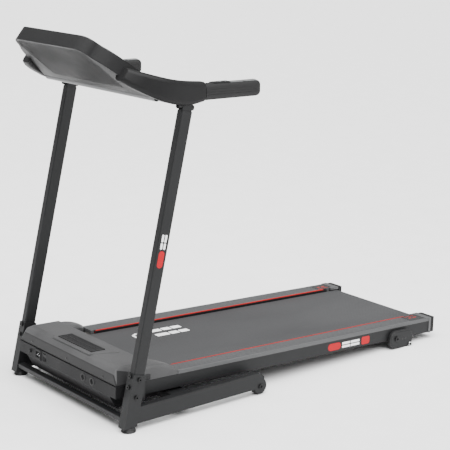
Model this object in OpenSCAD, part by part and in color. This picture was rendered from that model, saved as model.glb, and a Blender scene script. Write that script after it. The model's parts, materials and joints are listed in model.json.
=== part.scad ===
// Folding treadmill. Millimetres, +Z up. The user faces -Y, so left is +X.
// The origin is at floor level, under the middle of the machine.

/* [Overall] */
// Length from the front edge of the console to the rear end caps
overall_l = 1385; // [1265:5:1665]
// Width of the running belt, which sets the width of the whole machine
belt_w = 400; // [330:10:480]
// Length of each upright tube
upright_l = 925; // [770:5:1110]

/* [Base frame] */
// Width of a base rail, and of an upright, across the machine
base_rail_w = 25; // [21:1:30]
// Height of a base rail
base_rail_h = 50; // [44:1:60]
// Height of the base rails above the floor
base_rail_z = 21; // [18:1:26]
// Rear end of the base rails, from the front of the base
base_rail_end = 517; // [440:1:620]
// Wall of the base rails
base_wall = 2.5; // [1.5:0.5:3]
// Depth of the front crossbar
front_bar_d = 22; // [18:1:26]
// Height of the front crossbar
front_bar_h = 14; // [12:1:17]
// Depth of the middle crossbar
mid_bar_d = 58; // [48:1:70]
// Height of the middle crossbar
mid_bar_h = 25; // [20:1:30]
// Radius of a front foot where it meets the floor
foot_r = 22; // [18:1:25]
// Height of a front foot
foot_h = 14; // [11:1:17]
// Radius of a transport wheel
wheel_r = 27; // [24:1:30]
// Width of a transport wheel
wheel_w = 16; // [13:1:18]
// Radius of a transport wheel axle
wheel_axle_r = 4; // [3:0.5:5]

/* [Uprights] */
// Depth of an upright tube, front to back
upright_d = 38; // [32:1:45]
// Wall of an upright tube
upright_wall = 2; // [1:0.5:2.5]
// Lean of the uprights towards the user
lean = 13.25; // [10:0.25:16]
// Wall of the sleeve that holds an upright
sleeve_wall = 3; // [2:0.5:4]
// Height of the sleeve along the upright
sleeve_l = 172; // [150:1:200]

/* [Deck] */
// Downward slope of the deck towards its rear
deck_pitch = 2.76; // [2:0.1:3.4]
// How far the deck folds up
fold_angle = 74; // [60:1:76]
// Height of the deck's pivot
pivot_z = 110; // [105:1:118]
// Distance of the deck's pivot behind the front of the base
pivot_y = 70; // [66:1:76]
// Radius of a pivot bolt
pivot_r = 5; // [4:0.5:6]
// Gap between the deck's side rail and the base rail
side_gap = 28; // [24:1:34]
// Width of a deck side rail
deck_rail_w = 25; // [20:1:30]
// Height of a deck side rail
deck_rail_h = 40; // [36:1:44]
// Wall of a deck side rail
deck_wall = 2; // [1.5:0.5:2.5]
// Width of a foot rail
foot_rail_w = 55; // [46:1:64]
// Height of a foot rail above the running board
foot_rail_h = 11; // [9:1:13]
// Width of a trim strip
strip_w = 8; // [6:1:10]
// Thickness of the running board
board_t = 15; // [12:1:17]
// Thickness of the running belt
belt_t = 2; // [1.5:0.5:2.5]
// Radius of the two rollers
roller_r = 18; // [16:1:19]
// Radius of a roller's shaft
shaft_r = 6; // [5:0.5:7]

/* [Console] */
// Slope of the console
console_tilt = 39.6; // [34:0.5:44]
// Depth of the console along its slope
console_d = 215; // [190:5:250]
// Thickness of the console
console_t = 46; // [40:0.5:50]
// Wall of the console shell
shell_wall = 3; // [2:0.5:4]
// Length of a handle grip
grip_l = 208; // [175:1:245]
// Height of a handle grip
grip_h = 48; // [40:1:54]
// Width of a handle grip
grip_w = 42; // [35:1:46]
// Radius of the console crossbar
console_bar_r = 11; // [9:1:13]
// Diameter of the start and stop buttons
big_button_d = 30; // [25:1:36]
// Diameter of the speed buttons
small_button_d = 20; // [17:1:24]
// Travel of a console button
button_travel = 1.5; // [1:0.5:2]

/* [Hidden] */
$fn = 48;

// Finishes
black_steel = "#242528";
black_plastic = "#1b1c1e";
grey_plastic = "#5c5e60";
ribbed_grey = "#6e7072";
silver = "#a9abad";
trim_red = "#c23a34";
belt_grey = "#4a4b4c";
rubber_black = "#161617";

// Clearances
play = 0.3; // between pieces that move past each other
run = 0.05; // radial, between a pin and the hole that turns on it
cut = 1; // how far a cutter runs past a face

// Stations across the machine
belt_gap = 4; // from the belt's edge to the trim strip
strip_x = belt_w / 2 + belt_gap;
foot_rail_x = strip_x + strip_w;
deck_x = foot_rail_x + foot_rail_w; // outer face of the deck
rail_in_x = deck_x + side_gap; // inner face of the base rail
rail_out_x = rail_in_x + base_rail_w;
upright_x = (rail_in_x + rail_out_x) / 2;

// Stations along the machine, from the front of the base
console_reach = 50; // console ahead of the base
base_y = -overall_l / 2 + console_reach;
upright_y = 8.5; // centre of the upright's line at floor level
wheel_y = base_rail_end - 15;
fork_r = wheel_r - 3; // cheeks of the rail round a wheel
bar_y = -3;
mid_bar_y = 185;
mid_bar_z = base_rail_z + base_rail_h - mid_bar_h - 5;

// Levels in the deck's own frame, whose origin is the pivot
deck_top = 12.5; // top of the side rails
board_top = deck_top + 0.5;
foot_rail_top = board_top + foot_rail_h;
belt_top = board_top + belt_t;
roller_z = board_top - roller_r;
deck_bottom = deck_top - deck_rail_h;
cap_l = 22;
cap_end = (overall_l / 2 - base_y - pivot_y - foot_rail_top * sin(deck_pitch)) / cos(deck_pitch);
deck_rail_start = -42;
deck_rail_end = cap_end - cap_l;
rear_roller_y = cap_end - 34;
front_roller_y = 60;
foot_rail_start = 154;
plate_t = 4;

// Gas strut, between the middle crossbar and the deck crossbar
strut_low_y = mid_bar_y + mid_bar_d + 17;
strut_low_z = 50;
strut_mount_l = 586; // upper mount, along the deck from the pivot
strut_mount_drop = 45; // upper mount, below the deck's line
strut_up_y = pivot_y + strut_mount_l * cos(deck_pitch) - strut_mount_drop * sin(deck_pitch);
strut_up_z = pivot_z - strut_mount_l * sin(deck_pitch) - strut_mount_drop * cos(deck_pitch);
strut_len = norm([strut_up_y - strut_low_y, strut_up_z - strut_low_z]);
strut_angle = atan2(strut_up_z - strut_low_z, strut_up_y - strut_low_y);
strut_r = 11;
rod_r = 5;
eye_r = 9;
eye_w = 12;
eye_bore_r = 4;

// Console, in its own frame: X across, Y down its slope, Z out of its face
console_y = -console_reach;
upright_top_y = upright_y + upright_l * sin(lean);
upright_top_z = upright_l * cos(lean) + 15;
console_z = upright_top_z + 189;
console_half = upright_x - 113.5;
console_flare = 56; // how far each side widens by the middle of the slope
flare_l = 119;
corner_r = 24;
// Share of the flare reached at each share of its length
flare_steps = [[0.08, 0.29], [0.24, 0.4], [0.47, 0.51], [0.72, 0.7], [1, 1], [1.3, 1.4]];
face_t = 3;
back_half = console_half - 4;
back_d = 182;

// Arms and handles
arm_rise = 55; // centre line of the arm above the top of the upright
arm_back = 66; // rear end of the arm, behind the top of the upright
grip_y = upright_top_y + arm_back + 1.6;
grip_z = upright_top_z + arm_rise - 2;
grip_pitch = 1.4;

// Rear incline feet, in the deck's own frame, from the foot's pivot
incline_y = cap_end - 198;
incline_z = deck_bottom + 6;
incline_r = 31;
incline_span = 49;
incline_w = 14;
incline_pin_r = 4;
pin_back = 64; // lock pin, behind the foot's pivot
pin_down = 26; // and below it
// The foot stands on the floor at its rear end
foot_line = (incline_r - pivot_z + (incline_y + incline_span) * sin(deck_pitch)) / cos(deck_pitch);
foot_drop = incline_z - foot_line;

// Places a child along and above the base, and on one side (1 left, -1 right)
module at(y, z) translate([0, base_y + y, z]) children();
module sided(s) {
    if (s > 0) children();
    else mirror([1, 0, 0]) children();
}
module both_sides() {
    for (s = [1, -1]) sided(s) children();
}
// The deck's frame: origin at the pivot, Y along the deck, Z out of its top
module on_deck() at(pivot_y, pivot_z) rotate([-deck_pitch, 0, 0]) children();
// The upright's frame: Z along the tube, X across the machine
module on_upright() at(upright_y, 0) translate([upright_x, 0, 0]) rotate([-lean, 0, 0]) children();
module on_console() at(console_y, console_z) rotate([-console_tilt, 0, 0]) children();
module on_grip() at(grip_y, grip_z) translate([upright_x, 0, 0]) rotate([-grip_pitch, 0, 0]) children();
module on_strut() at(strut_low_y, strut_low_z) rotate([strut_angle, 0, 0]) children();

// A cylinder along X, centred on the origin
module rod_x(r, l) rotate([0, 90, 0]) cylinder(r = r, h = l, center = true);
// A cylinder along X, from x0 to x1
module rod_from(r, x0, x1) translate([(x0 + x1) / 2, 0, 0]) rod_x(r, x1 - x0);
// A box given by its lowest corner and its highest corner
module box(low, high) translate(low) cube(high - low);
// A side outline of [y, z] points, from x0 to x1
module side_plate(points, x0, x1) {
    translate([x0, 0, 0])
        rotate([90, 0, 90])
            linear_extrude(height = x1 - x0) polygon(points);
}
// A rounded rectangle, centred on the origin
module rounded_rect(w, h, r) {
    square([w - 2 * r, h], center = true);
    square([w, h - 2 * r], center = true);
    for (x = [-1, 1], y = [-1, 1])
        translate([x * (w / 2 - r), y * (h / 2 - r)]) circle(r = r);
}
// A rectangular tube along Z
module tube_z(w, d, wall, l) {
    difference() {
        translate([-w / 2, -d / 2, 0]) cube([w, d, l]);
        translate([-w / 2 + wall, -d / 2 + wall, -cut])
            cube([w - 2 * wall, d - 2 * wall, l + 2 * cut]);
    }
}
// A hexagon socket bolt along +X: the head's underside is at x = 0
module socket_bolt(r, l, head_r, head_h) {
    difference() {
        union() {
            rod_from(r, -l, 0.5);
            rod_from(head_r, 0, head_h);
        }
        translate([head_h / 2 + cut, 0, 0])
            rotate([0, 90, 0]) cylinder(r = head_r * 0.5, h = head_h, center = true, $fn = 6);
    }
}

// ---- Base frame ----

module base_rail(s) {
    top = base_rail_z + base_rail_h;
    end = base_rail_end;
    color(black_steel) sided(s) difference() {
        at(0, 0) difference() {
            union() {
                side_plate([[10, base_rail_z], [end, base_rail_z], [end, top - 14], [end - 20, top], [10, top]],
                    rail_in_x, rail_out_x);
                translate([0, wheel_y, wheel_r]) rod_from(fork_r, rail_in_x, rail_out_x);
            }
            box([rail_in_x + base_wall, 10 - cut, base_rail_z + base_wall],
                [rail_out_x - base_wall, end - 40, top - base_wall]);
            box([rail_in_x + base_wall, wheel_y - wheel_r - 4, -cut],
                [rail_out_x - base_wall, end + fork_r, top - base_wall]);
            translate([upright_x, wheel_y, wheel_r]) rod_x(wheel_axle_r, base_rail_w + 2 * cut);
        }
        on_upright() translate([-base_rail_w, -upright_d / 2 - sleeve_wall, 0])
            cube([2 * base_rail_w, upright_d + 2 * sleeve_wall, sleeve_l]);
        on_upright() translate([-base_rail_w, -upright_d / 2 - 60, 0]) cube([2 * base_rail_w, 80, sleeve_l]);
    }
}
module base_rail_left() base_rail(1);
module base_rail_right() base_rail(-1);

module front_crossbar() {
    color(black_steel) at(bar_y, base_rail_z + 8) difference() {
        translate([-rail_in_x + 4, 0, 0]) cube([2 * rail_in_x - 8, front_bar_d, front_bar_h]);
        translate([-rail_in_x, base_wall, base_wall])
            cube([2 * rail_in_x, front_bar_d - 2 * base_wall, front_bar_h - 2 * base_wall]);
    }
}

// Middle crossbar, with the two ears and the pin of the strut's lower mount
module mid_crossbar() {
    ear_top = strut_low_z + 12;
    ear_x = eye_w / 2 + 4;
    bar_end = mid_bar_y + mid_bar_d;
    color(black_steel) at(0, 0) {
        difference() {
            box([-rail_in_x, mid_bar_y, mid_bar_z], [rail_in_x, bar_end, mid_bar_z + mid_bar_h]);
            box([-rail_in_x - cut, mid_bar_y + base_wall, mid_bar_z + base_wall],
                [rail_in_x + cut, bar_end - base_wall, mid_bar_z + mid_bar_h - base_wall]);
        }
        for (x = [-ear_x, ear_x]) side_plate([[bar_end - 0.5, mid_bar_z], [strut_low_y + 10, mid_bar_z],
            [strut_low_y + 10, ear_top], [bar_end - 0.5, ear_top]], x - 2, x + 2);
        translate([0, strut_low_y, strut_low_z]) rod_x(eye_bore_r, eye_w + 10);
    }
}

module upright_bracket(s) {
    color(black_steel) sided(s) difference() {
        union() {
            on_upright() tube_z(base_rail_w + 2 * sleeve_wall, upright_d + 2 * sleeve_wall, sleeve_wall, sleeve_l);
            at(0, 0) side_plate([[pivot_y - 40, base_rail_z + base_rail_h + 2],
                [pivot_y + 15, base_rail_z + base_rail_h + 2], [pivot_y + 15, pivot_z + 14],
                [pivot_y + 8, pivot_z + 22], [pivot_y - 20, pivot_z + 22]],
                rail_in_x - sleeve_wall - 8, rail_in_x - sleeve_wall + 1);
        }
        at(0, 0) box([0, -60, -60], [rail_out_x + 40, 140, foot_h]);
        at(bar_y, base_rail_z + 8) cube([rail_in_x - 4, front_bar_d, front_bar_h]);
        at(pivot_y, pivot_z) translate([rail_in_x, 0, 0]) rod_x(pivot_r, 40);
        on_upright() translate([0, 0, foot_h + 4]) for (l = side_bolt_l)
            translate([0, 0, l]) rod_from(bolt_r, 0, base_rail_w);
        on_upright() translate([0, 0, foot_h + 4]) for (l = front_bolt_l)
            translate([0, 0, l]) rotate([0, 0, -90]) rod_from(bolt_r, 0, upright_d);
    }
}
module upright_bracket_left() upright_bracket(1);
module upright_bracket_right() upright_bracket(-1);

// Upright tubes, bolted into the sleeves
bolt_r = 4;
bolt_head_r = 6.5;
bolt_head_h = 5;
side_bolt_l = [88, 141];
front_bolt_l = [114, 146];
upright_start = 19.5;
post_l = 110; // console post inside the upright
post_out = 42; // and above it
console_bolt_l = 12; // above the top of the upright

module upright(s) {
    color(black_steel) sided(s) on_upright() difference() {
        translate([0, 0, upright_start])
            tube_z(base_rail_w, upright_d, upright_wall, upright_l);
        translate([0, 0, foot_h + 4]) for (l = side_bolt_l)
            translate([0, 0, l]) rod_from(bolt_r, 0, base_rail_w);
        translate([0, 0, foot_h + 4]) for (l = front_bolt_l)
            translate([0, 0, l]) rotate([0, 0, -90]) rod_from(bolt_r, 0, upright_d);
    }
}
module upright_left() upright(1);
module upright_right() upright(-1);

// Bolts: two at the side and two at the front of each sleeve, two through each console
// post, one axle for each transport wheel and one pivot bolt for each side of the deck
module frame_bolts() {
    color(black_steel) both_sides() {
        on_upright() translate([0, 0, foot_h + 4]) {
            for (l = side_bolt_l) translate([base_rail_w / 2 + sleeve_wall, 0, l])
                socket_bolt(bolt_r, sleeve_wall + upright_wall + 4, bolt_head_r, bolt_head_h);
            for (l = front_bolt_l) translate([0, -upright_d / 2 - sleeve_wall, l])
                rotate([0, 0, -90])
                    socket_bolt(bolt_r, sleeve_wall + upright_wall + 4, bolt_head_r, bolt_head_h);
        }
        on_upright() translate([0, 0, upright_start + upright_l + console_bolt_l]) {
            translate([0, -upright_d / 2 + upright_wall, 0])
                rotate([0, 0, -90]) socket_bolt(bolt_r, 6, 9, 12);
            translate([0, upright_d / 2 - upright_wall, 0])
                rotate([0, 0, 90]) socket_bolt(bolt_r, 6, 8, 9);
        }
        at(wheel_y, wheel_r) translate([rail_out_x, 0, 0])
            socket_bolt(wheel_axle_r, base_rail_w + 2, 8, 4);
        at(pivot_y, pivot_z) {
            rod_from(pivot_r, deck_x - deck_rail_w - 6, rail_in_x - sleeve_wall);
            rod_from(pivot_r + 4, deck_x + play, rail_in_x - sleeve_wall - 8);
            rod_from(pivot_r + 3, deck_x - deck_rail_w - 6, deck_x - deck_rail_w - 0.5);
        }
    }
}

module base_feet() {
    color(rubber_black) both_sides() at(15, 0) translate([upright_x, 0, 0])
        rotate_extrude() polygon([[0, 0], [foot_r, 0], [foot_r, 2], [foot_r - 3, foot_h - 2],
            [foot_r - 3, foot_h], [0, foot_h]]);
}

module transport_wheel(s) {
    color(rubber_black) sided(s) at(wheel_y, wheel_r) translate([upright_x, 0, 0])
        rotate([0, 90, 0]) rotate_extrude() polygon([[wheel_axle_r + run, -wheel_w / 2],
            [wheel_r - 2, -wheel_w / 2], [wheel_r, -wheel_w / 2 + 2],
            [wheel_r, wheel_w / 2 - 2], [wheel_r - 2, wheel_w / 2],
            [wheel_axle_r + run, wheel_w / 2]]);
}
module transport_wheel_left() transport_wheel(1);
module transport_wheel_right() transport_wheel(-1);

// ---- Console, arms and handles ----

// Steel posts that stand in the uprights, with the handlebar tubes welded across them
bar_r = 12;
bar_back = 8; // handlebar tube short of the grip's end
bar_front = 110; // and ahead of the grip
module console_posts() {
    w = base_rail_w - 2 * upright_wall - 0.4;
    d = upright_d - 2 * upright_wall - 0.4;
    bar_l = grip_l - bar_back + bar_front;
    color(black_steel) both_sides() difference() {
        union() {
            on_upright() difference() {
                translate([0, 0, upright_start + upright_l - post_l])
                    tube_z(w, d, upright_wall, post_l + post_out);
                translate([0, 0, upright_start + upright_l + console_bolt_l])
                    rotate([90, 0, 0]) cylinder(r = bolt_r, h = upright_d, center = true);
            }
            on_grip() rotate([-90, 0, 0]) translate([0, 0, -bar_front]) cylinder(r = bar_r, h = bar_l);
        }
        on_grip() rotate([-90, 0, 0]) translate([0, 0, -bar_front - cut])
            cylinder(r = bar_r - 2, h = bar_l + 2 * cut);
    }
}

console_bar_y = 137;
console_bar_drop = 141; // below the front edge of the console
module console_crossbar() {
    l = 2 * (upright_x - 14);
    tab_x = console_half + 15;
    color(silver) difference() {
        union() {
            at(console_bar_y, console_z - console_bar_drop) rod_x(console_bar_r, l);
            for (x = [-tab_x, tab_x]) on_console() box([x - 12, console_d, 8], [x + 12, console_d + 22, 13]);
        }
        at(console_bar_y, console_z - console_bar_drop) rod_x(console_bar_r - 2, l + 2 * cut);
    }
}

// Outline of the console, seen square to its face
function console_side(inset) = let (h = console_half - inset, r = corner_r - inset)
    concat([for (a = [90 : -15 : 0]) [h - r + r * cos(a), inset + r - r * sin(a)]],
        [for (p = flare_steps) [h + p[0] * console_flare, p[1] * flare_l]],
        [[h + 1.55 * console_flare, console_d - inset]]);
function console_outline(inset) = let (side = console_side(inset), last = len(side) - 1)
    concat(side, [for (i = [last : -1 : 0]) [-side[i][0], side[i][1]]]);

module console_shell() {
    color(black_plastic) on_console() difference() {
        linear_extrude(height = console_t - face_t) polygon(console_outline(0));
        translate([0, 0, 5 + shell_wall])
            linear_extrude(height = console_t) polygon(console_outline(shell_wall));
        box([-back_half, 8, -cut], [back_half, 8 + back_d, console_t]);
    }
}
// Room for the crossbar in the arms
module console_bar_room() {
    at(console_bar_y, console_z - console_bar_drop)
        rod_x(console_bar_r + play, 2 * upright_x);
}

// Back cover in its opening, with three clip notches and the four posts of the board
module console_back() {
    color(black_plastic) on_console() {
        difference() {
            box([-back_half + play, 8 + play, 4], [back_half - play, 8 + back_d - play, 7]);
            for (x = [-0.72, 0, 0.72])
                translate([x * back_half, 8, 4 - cut]) cylinder(r = 5, h = 3 + 2 * cut);
        }
        for (x = [-140, 140], y = [40, 168]) translate([x, y, 6.5]) cylinder(r = 4, h = board_z - 6.5);
    }
}

// Places on the console face: [x, distance down the slope]
display_w = 150;
display_d = 62;
display_y = 60;
start_xy = [-120, 158];
stop_xy = [120, 158];
up_xy = [50, 158];
down_xy = [-50, 158];
key_xy = [0, 158];
key_r = 9;

module console_face() {
    color(black_plastic) difference() {
        on_console() difference() {
            translate([0, 0, console_t - face_t])
                linear_extrude(height = face_t) polygon(console_outline(0));
            translate([0, display_y, console_t])
                cube([display_w + 2 * play, display_d + 2 * play, 4 * face_t], center = true);
            for (p = [[start_xy, big_button_d], [stop_xy, big_button_d],
                [up_xy, small_button_d], [down_xy, small_button_d], [key_xy, 2 * key_r]])
                translate([p[0][0], p[0][1], console_t - 2 * face_t])
                    cylinder(r = p[1] / 2 + play, h = 4 * face_t);
        }
    }
}

module console_display() {
    color("#0c0f12") on_console() translate([0, display_y, console_t - face_t / 2 - 1])
        cube([display_w, display_d, face_t + 1], center = true);
}

board_z = 17;
module console_board() {
    color("#1f5a38") on_console()
        box([-150, 30, board_z], [150, 178, board_z + 1.6]);
}

// A button that sinks into the console face
module console_button(place, d, tint) {
    color(tint) on_console() translate([place[0], place[1], 0]) {
        translate([0, 0, board_z + 1.6 + button_travel + play])
            cylinder(r = d / 2 - 3, h = console_t - board_z - 8);
        translate([0, 0, console_t - 5]) cylinder(r = d / 2, h = 7);
    }
}
module start_button() console_button(start_xy, big_button_d, "#2f7d46");
module stop_button() console_button(stop_xy, big_button_d, trim_red);
module speed_up_button() console_button(up_xy, small_button_d, grey_plastic);
module speed_down_button() console_button(down_xy, small_button_d, grey_plastic);

// Safety key: a magnet puck that pulls straight off the console
module safety_key() {
    color(trim_red) on_console() translate([key_xy[0], key_xy[1], 0]) {
        translate([0, 0, board_z + 1.6 + play]) cylinder(r = key_r, h = console_t - board_z);
        translate([0, 0, console_t + play]) cylinder(r = key_r + 5, h = 8);
    }
}

// Stations along an arm: [behind the upright's foot, centre height, depth, across]
function arm_stations() = [
    [upright_top_y - 184, upright_top_z + 125, 50, upright_x - 56],
    [upright_top_y - 158, upright_top_z + 109, 61, upright_x - 36],
    [upright_top_y - 113, upright_top_z + 89, 65, upright_x - 14],
    [upright_top_y - 65, upright_top_z + 70, 70, upright_x],
    [upright_top_y - 6, upright_top_z + 56, 71, upright_x],
    [upright_top_y + 30, upright_top_z + 54, 66, upright_x],
    [upright_top_y + arm_back, upright_top_z + arm_rise, 56, upright_x]];
arm_w = 44;
arm_round = 14;
module arm_section(p, t, inset, end) {
    r = arm_round - inset;
    at(p[0] + end * inset, p[1]) translate([p[3], 0, 0]) rotate([90, 0, 0])
        for (x = [-1, 1], z = [-1, 1])
            translate([x * (arm_w / 2 - arm_round), z * (p[2] / 2 - arm_round), 0])
                cylinder(r = r, h = t, center = true, $fn = 24);
}
// Arms are hollow covers over the posts and the handlebar tubes
module arm_body(inset) {
    stations = arm_stations();
    last = len(stations) - 2;
    for (i = [0 : last]) hull() {
        arm_section(stations[i], 0.4, inset, i == 0 ? 1 : 0);
        arm_section(stations[i + 1], 0.4, inset, i == last ? -1 : 0);
    }
}
module arm_cover(s) {
    color(black_plastic) sided(s) difference() {
        arm_body(0);
        arm_body(shell_wall);
        on_grip() rotate([-90, 0, 0]) translate([0, 0, -120]) cylinder(r = bar_r + play, h = 200);
        on_console() translate([0, 0, -0.2]) linear_extrude(height = 4 * console_t)
            polygon(console_outline(-0.2));
        console_bar_room();
        on_upright() translate([-base_rail_w / 2, -upright_d / 2, 0])
            cube([base_rail_w, upright_d, upright_start + upright_l + post_out + 1]);
        on_upright() translate([0, 0, upright_start + upright_l + console_bolt_l])
            rotate([90, 0, 0]) cylinder(r = 10, h = upright_d + 60, center = true);
    }
}
module arm_cover_left() arm_cover(1);
module arm_cover_right() arm_cover(-1);

sensor_start = 32;
sensor_end = grip_l - 12;
sensor_w = 24;
sensor_t = 1.5;
up_button_y = 62;
down_button_y = 84;
handle_button_r = 6;
handle_button_h = 3;
pocket_d = 8; // depth of a handle button's pocket
module handle(s) {
    color(rubber_black) sided(s) on_grip() difference() {
        union() {
            rotate([-90, 0, 0]) linear_extrude(height = grip_l - 6) rounded_rect(grip_w, grip_h, 15);
            rotate([-90, 0, 0]) linear_extrude(height = grip_l) rounded_rect(grip_w - 8, grip_h - 8, 12);
        }
        rotate([-90, 0, 0]) translate([0, 0, -cut]) cylinder(r = bar_r, h = grip_l - bar_back + cut);
        if (s > 0) for (y = [up_button_y, down_button_y])
            translate([0, y, grip_h / 2 - pocket_d]) cylinder(r = handle_button_r + play, h = 2 * pocket_d);
    }
}
module handle_left() handle(1);
module handle_right() handle(-1);

module pulse_sensors() {
    color(silver) for (s = [1, -1]) sided(s) on_grip() difference() {
        box([-sensor_w / 2, sensor_start, grip_h / 2],
            [sensor_w / 2, sensor_end, grip_h / 2 + sensor_t]);
        if (s > 0) for (y = [up_button_y, down_button_y])
            translate([0, y, grip_h / 2 - cut]) cylinder(r = handle_button_r + play, h = 3 * sensor_t);
    }
}

module handle_button(y) {
    color(black_plastic) on_grip()
        translate([0, y, grip_h / 2 - pocket_d + button_travel + play])
            cylinder(r = handle_button_r, h = pocket_d - button_travel - play + sensor_t + handle_button_h);
}
module handle_up_button() handle_button(up_button_y);
module handle_down_button() handle_button(down_button_y);

// ---- Gas strut ----

strut_body_end = 250;
rod_start = 30;
module strut_cylinder() {
    color(black_steel) on_strut() difference() {
        union() {
            rotate([-90, 0, 0]) translate([0, 0, eye_r - 1])
                cylinder(r = strut_r, h = strut_body_end - eye_r + 1);
            rod_x(eye_r, eye_w);
        }
        rod_x(eye_bore_r + run, eye_w + 2 * cut);
        for (x = [-1, 1]) translate([x * (eye_w / 2 + 10), 0, 0]) cube([20, 4 * eye_r, 60], center = true);
        rotate([-90, 0, 0]) translate([0, 0, rod_start - 4])
            cylinder(r = rod_r + run, h = strut_body_end);
    }
}
module strut_rod() {
    color(silver) on_strut() difference() {
        union() {
            rotate([-90, 0, 0]) translate([0, 0, rod_start])
                cylinder(r = rod_r, h = strut_len - rod_start - eye_r + 2);
            translate([0, strut_len, 0]) rod_x(eye_r, eye_w);
        }
        translate([0, strut_len, 0]) rod_x(eye_bore_r, eye_w + 2 * cut);
    }
}

// ---- Deck ----

module deck_rail(s) {
    color(black_steel) sided(s) on_deck() difference() {
        box([deck_x - deck_rail_w, deck_rail_start, deck_bottom], [deck_x, deck_rail_end, deck_top]);
        box([deck_x - deck_rail_w + deck_wall, deck_rail_start - cut, deck_bottom + deck_wall],
            [deck_x - deck_wall, deck_rail_end + cut, deck_top - deck_wall]);
        translate([deck_x, 0, 0]) rod_x(pivot_r + run, 2 * deck_rail_w + 2 * cut);
        translate([deck_x, incline_y, incline_z]) rod_x(incline_pin_r, 10);
        for (y = [front_roller_y, rear_roller_y]) translate([deck_x - deck_rail_w, y, roller_z])
            rod_x(shaft_r, 2 * deck_wall + 6);
    }
}
module deck_rail_left() deck_rail(1);
module deck_rail_right() deck_rail(-1);

// Motor plate, and a flat bar with the two ears of the strut's upper mount
module deck_crossbars() {
    ear_x = eye_w / 2 + 4;
    color(black_steel) on_deck() difference() {
        union() {
            box([-deck_x + 5, -30, deck_bottom - plate_t], [deck_x - 5, 50, deck_bottom]);
            box([-deck_x + 2, strut_mount_l - 19, deck_bottom - plate_t],
                [deck_x - 2, strut_mount_l + 19, deck_bottom]);
            for (x = [-1, 1]) side_plate([[strut_mount_l - 15, deck_bottom - plate_t + 0.5],
                [strut_mount_l - 10, -strut_mount_drop - 12],
                [strut_mount_l + 10, -strut_mount_drop - 12],
                [strut_mount_l + 15, deck_bottom - plate_t + 0.5]], x * ear_x - 2, x * ear_x + 2);
        }
        translate([0, strut_mount_l, -strut_mount_drop]) rod_x(eye_bore_r, 4 * eye_w);
    }
}

board_start = front_roller_y + roller_r + 8;
board_end = rear_roller_y - roller_r - 8;
module running_board() {
    color("#6b5638") on_deck() box([-deck_x + deck_rail_w + 1, board_start, board_top - board_t],
        [deck_x - deck_rail_w - 1, board_end, board_top]);
}

// A belt loop round two rollers, r outside its inner face
module belt_loop(r, t, y0, y1, z, x0, x1) {
    translate([x0, 0, 0]) rotate([90, 0, 90]) linear_extrude(height = x1 - x0) difference() {
        union() {
            translate([y0, z - r - t]) square([y1 - y0, 2 * (r + t)]);
            for (y = [y0, y1]) translate([y, z]) circle(r = r + t);
        }
        translate([y0, z - r]) square([y1 - y0, 2 * r]);
        for (y = [y0, y1]) translate([y, z]) circle(r = r);
    }
}
module running_belt() {
    color(belt_grey) on_deck()
        belt_loop(roller_r + play, belt_t - play, front_roller_y, rear_roller_y, roller_z,
            -belt_w / 2, belt_w / 2);
}

groove_n = 5;
groove_w = 3;
groove_d = 1.5;
module foot_rail(s) {
    pitch = (foot_rail_w - 10) / groove_n;
    color(ribbed_grey) sided(s) on_deck() difference() {
        box([foot_rail_x, foot_rail_start, board_top], [deck_x + 1, deck_rail_end, foot_rail_top]);
        for (i = [0 : groove_n - 1])
            translate([foot_rail_x + 6 + i * pitch, foot_rail_start - cut, foot_rail_top - groove_d])
                cube([groove_w, deck_rail_end, 2 * groove_d]);
    }
}
module foot_rail_left() foot_rail(1);
module foot_rail_right() foot_rail(-1);

module trim_strips() {
    color(trim_red) both_sides() on_deck()
        box([strip_x, foot_rail_start + 12, board_top], [foot_rail_x, deck_rail_end - 66, foot_rail_top + 0.5]);
}

// End caps close the rear ends of the rails and wrap over them
module end_caps() {
    h = foot_rail_top - deck_bottom;
    color(black_plastic) both_sides() on_deck()
        translate([0, deck_rail_end, deck_bottom]) difference() {
            union() {
                box([strip_x - 2, 2, 0], [deck_x + 1, cap_l - 8, h]);
                box([strip_x + 6, 2, 0], [deck_x - 7, cap_l, h]);
                for (x = [strip_x + 6, deck_x - 7]) translate([x, cap_l - 8, 0]) cylinder(r = 8, h = h);
            }
            box([0, -cut, -cut], [strip_x - 2.01, cap_l + cut, h + cut]);
        }
    color(black_plastic) both_sides() on_deck() difference() {
        box([deck_x - deck_rail_w + deck_wall + 0.2, deck_rail_end - 15, deck_bottom + deck_wall + 0.2],
            [deck_x - deck_wall - 0.2, deck_rail_end + 3, deck_top - deck_wall - 0.2]);
        translate([0, rear_roller_y, roller_z]) rod_x(shaft_r + 0.4, 2 * (deck_x - deck_rail_w + deck_wall) + 5);
    }
}

// Rollers turn on fixed shafts
module roller(y, extra, l) {
    color(silver) on_deck() translate([0, y, roller_z]) difference() {
        union() {
            rod_x(roller_r, l);
            if (extra > 0) rod_from(roller_r + 2, -belt_w / 2 - 6 - extra, -belt_w / 2 - 5);
        }
        rod_x(shaft_r + run, belt_w + 12 + 2 * extra + 20);
    }
}
pulley_w = 18;
module front_roller() roller(front_roller_y, pulley_w, belt_w + 12);
module rear_roller() roller(rear_roller_y, 0, belt_w + 3);
module roller_shafts() {
    color(silver) on_deck() for (y = [front_roller_y, rear_roller_y])
        translate([0, y, roller_z]) rod_x(shaft_r, 2 * (deck_x - deck_rail_w + deck_wall) + 2);
}

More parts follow.
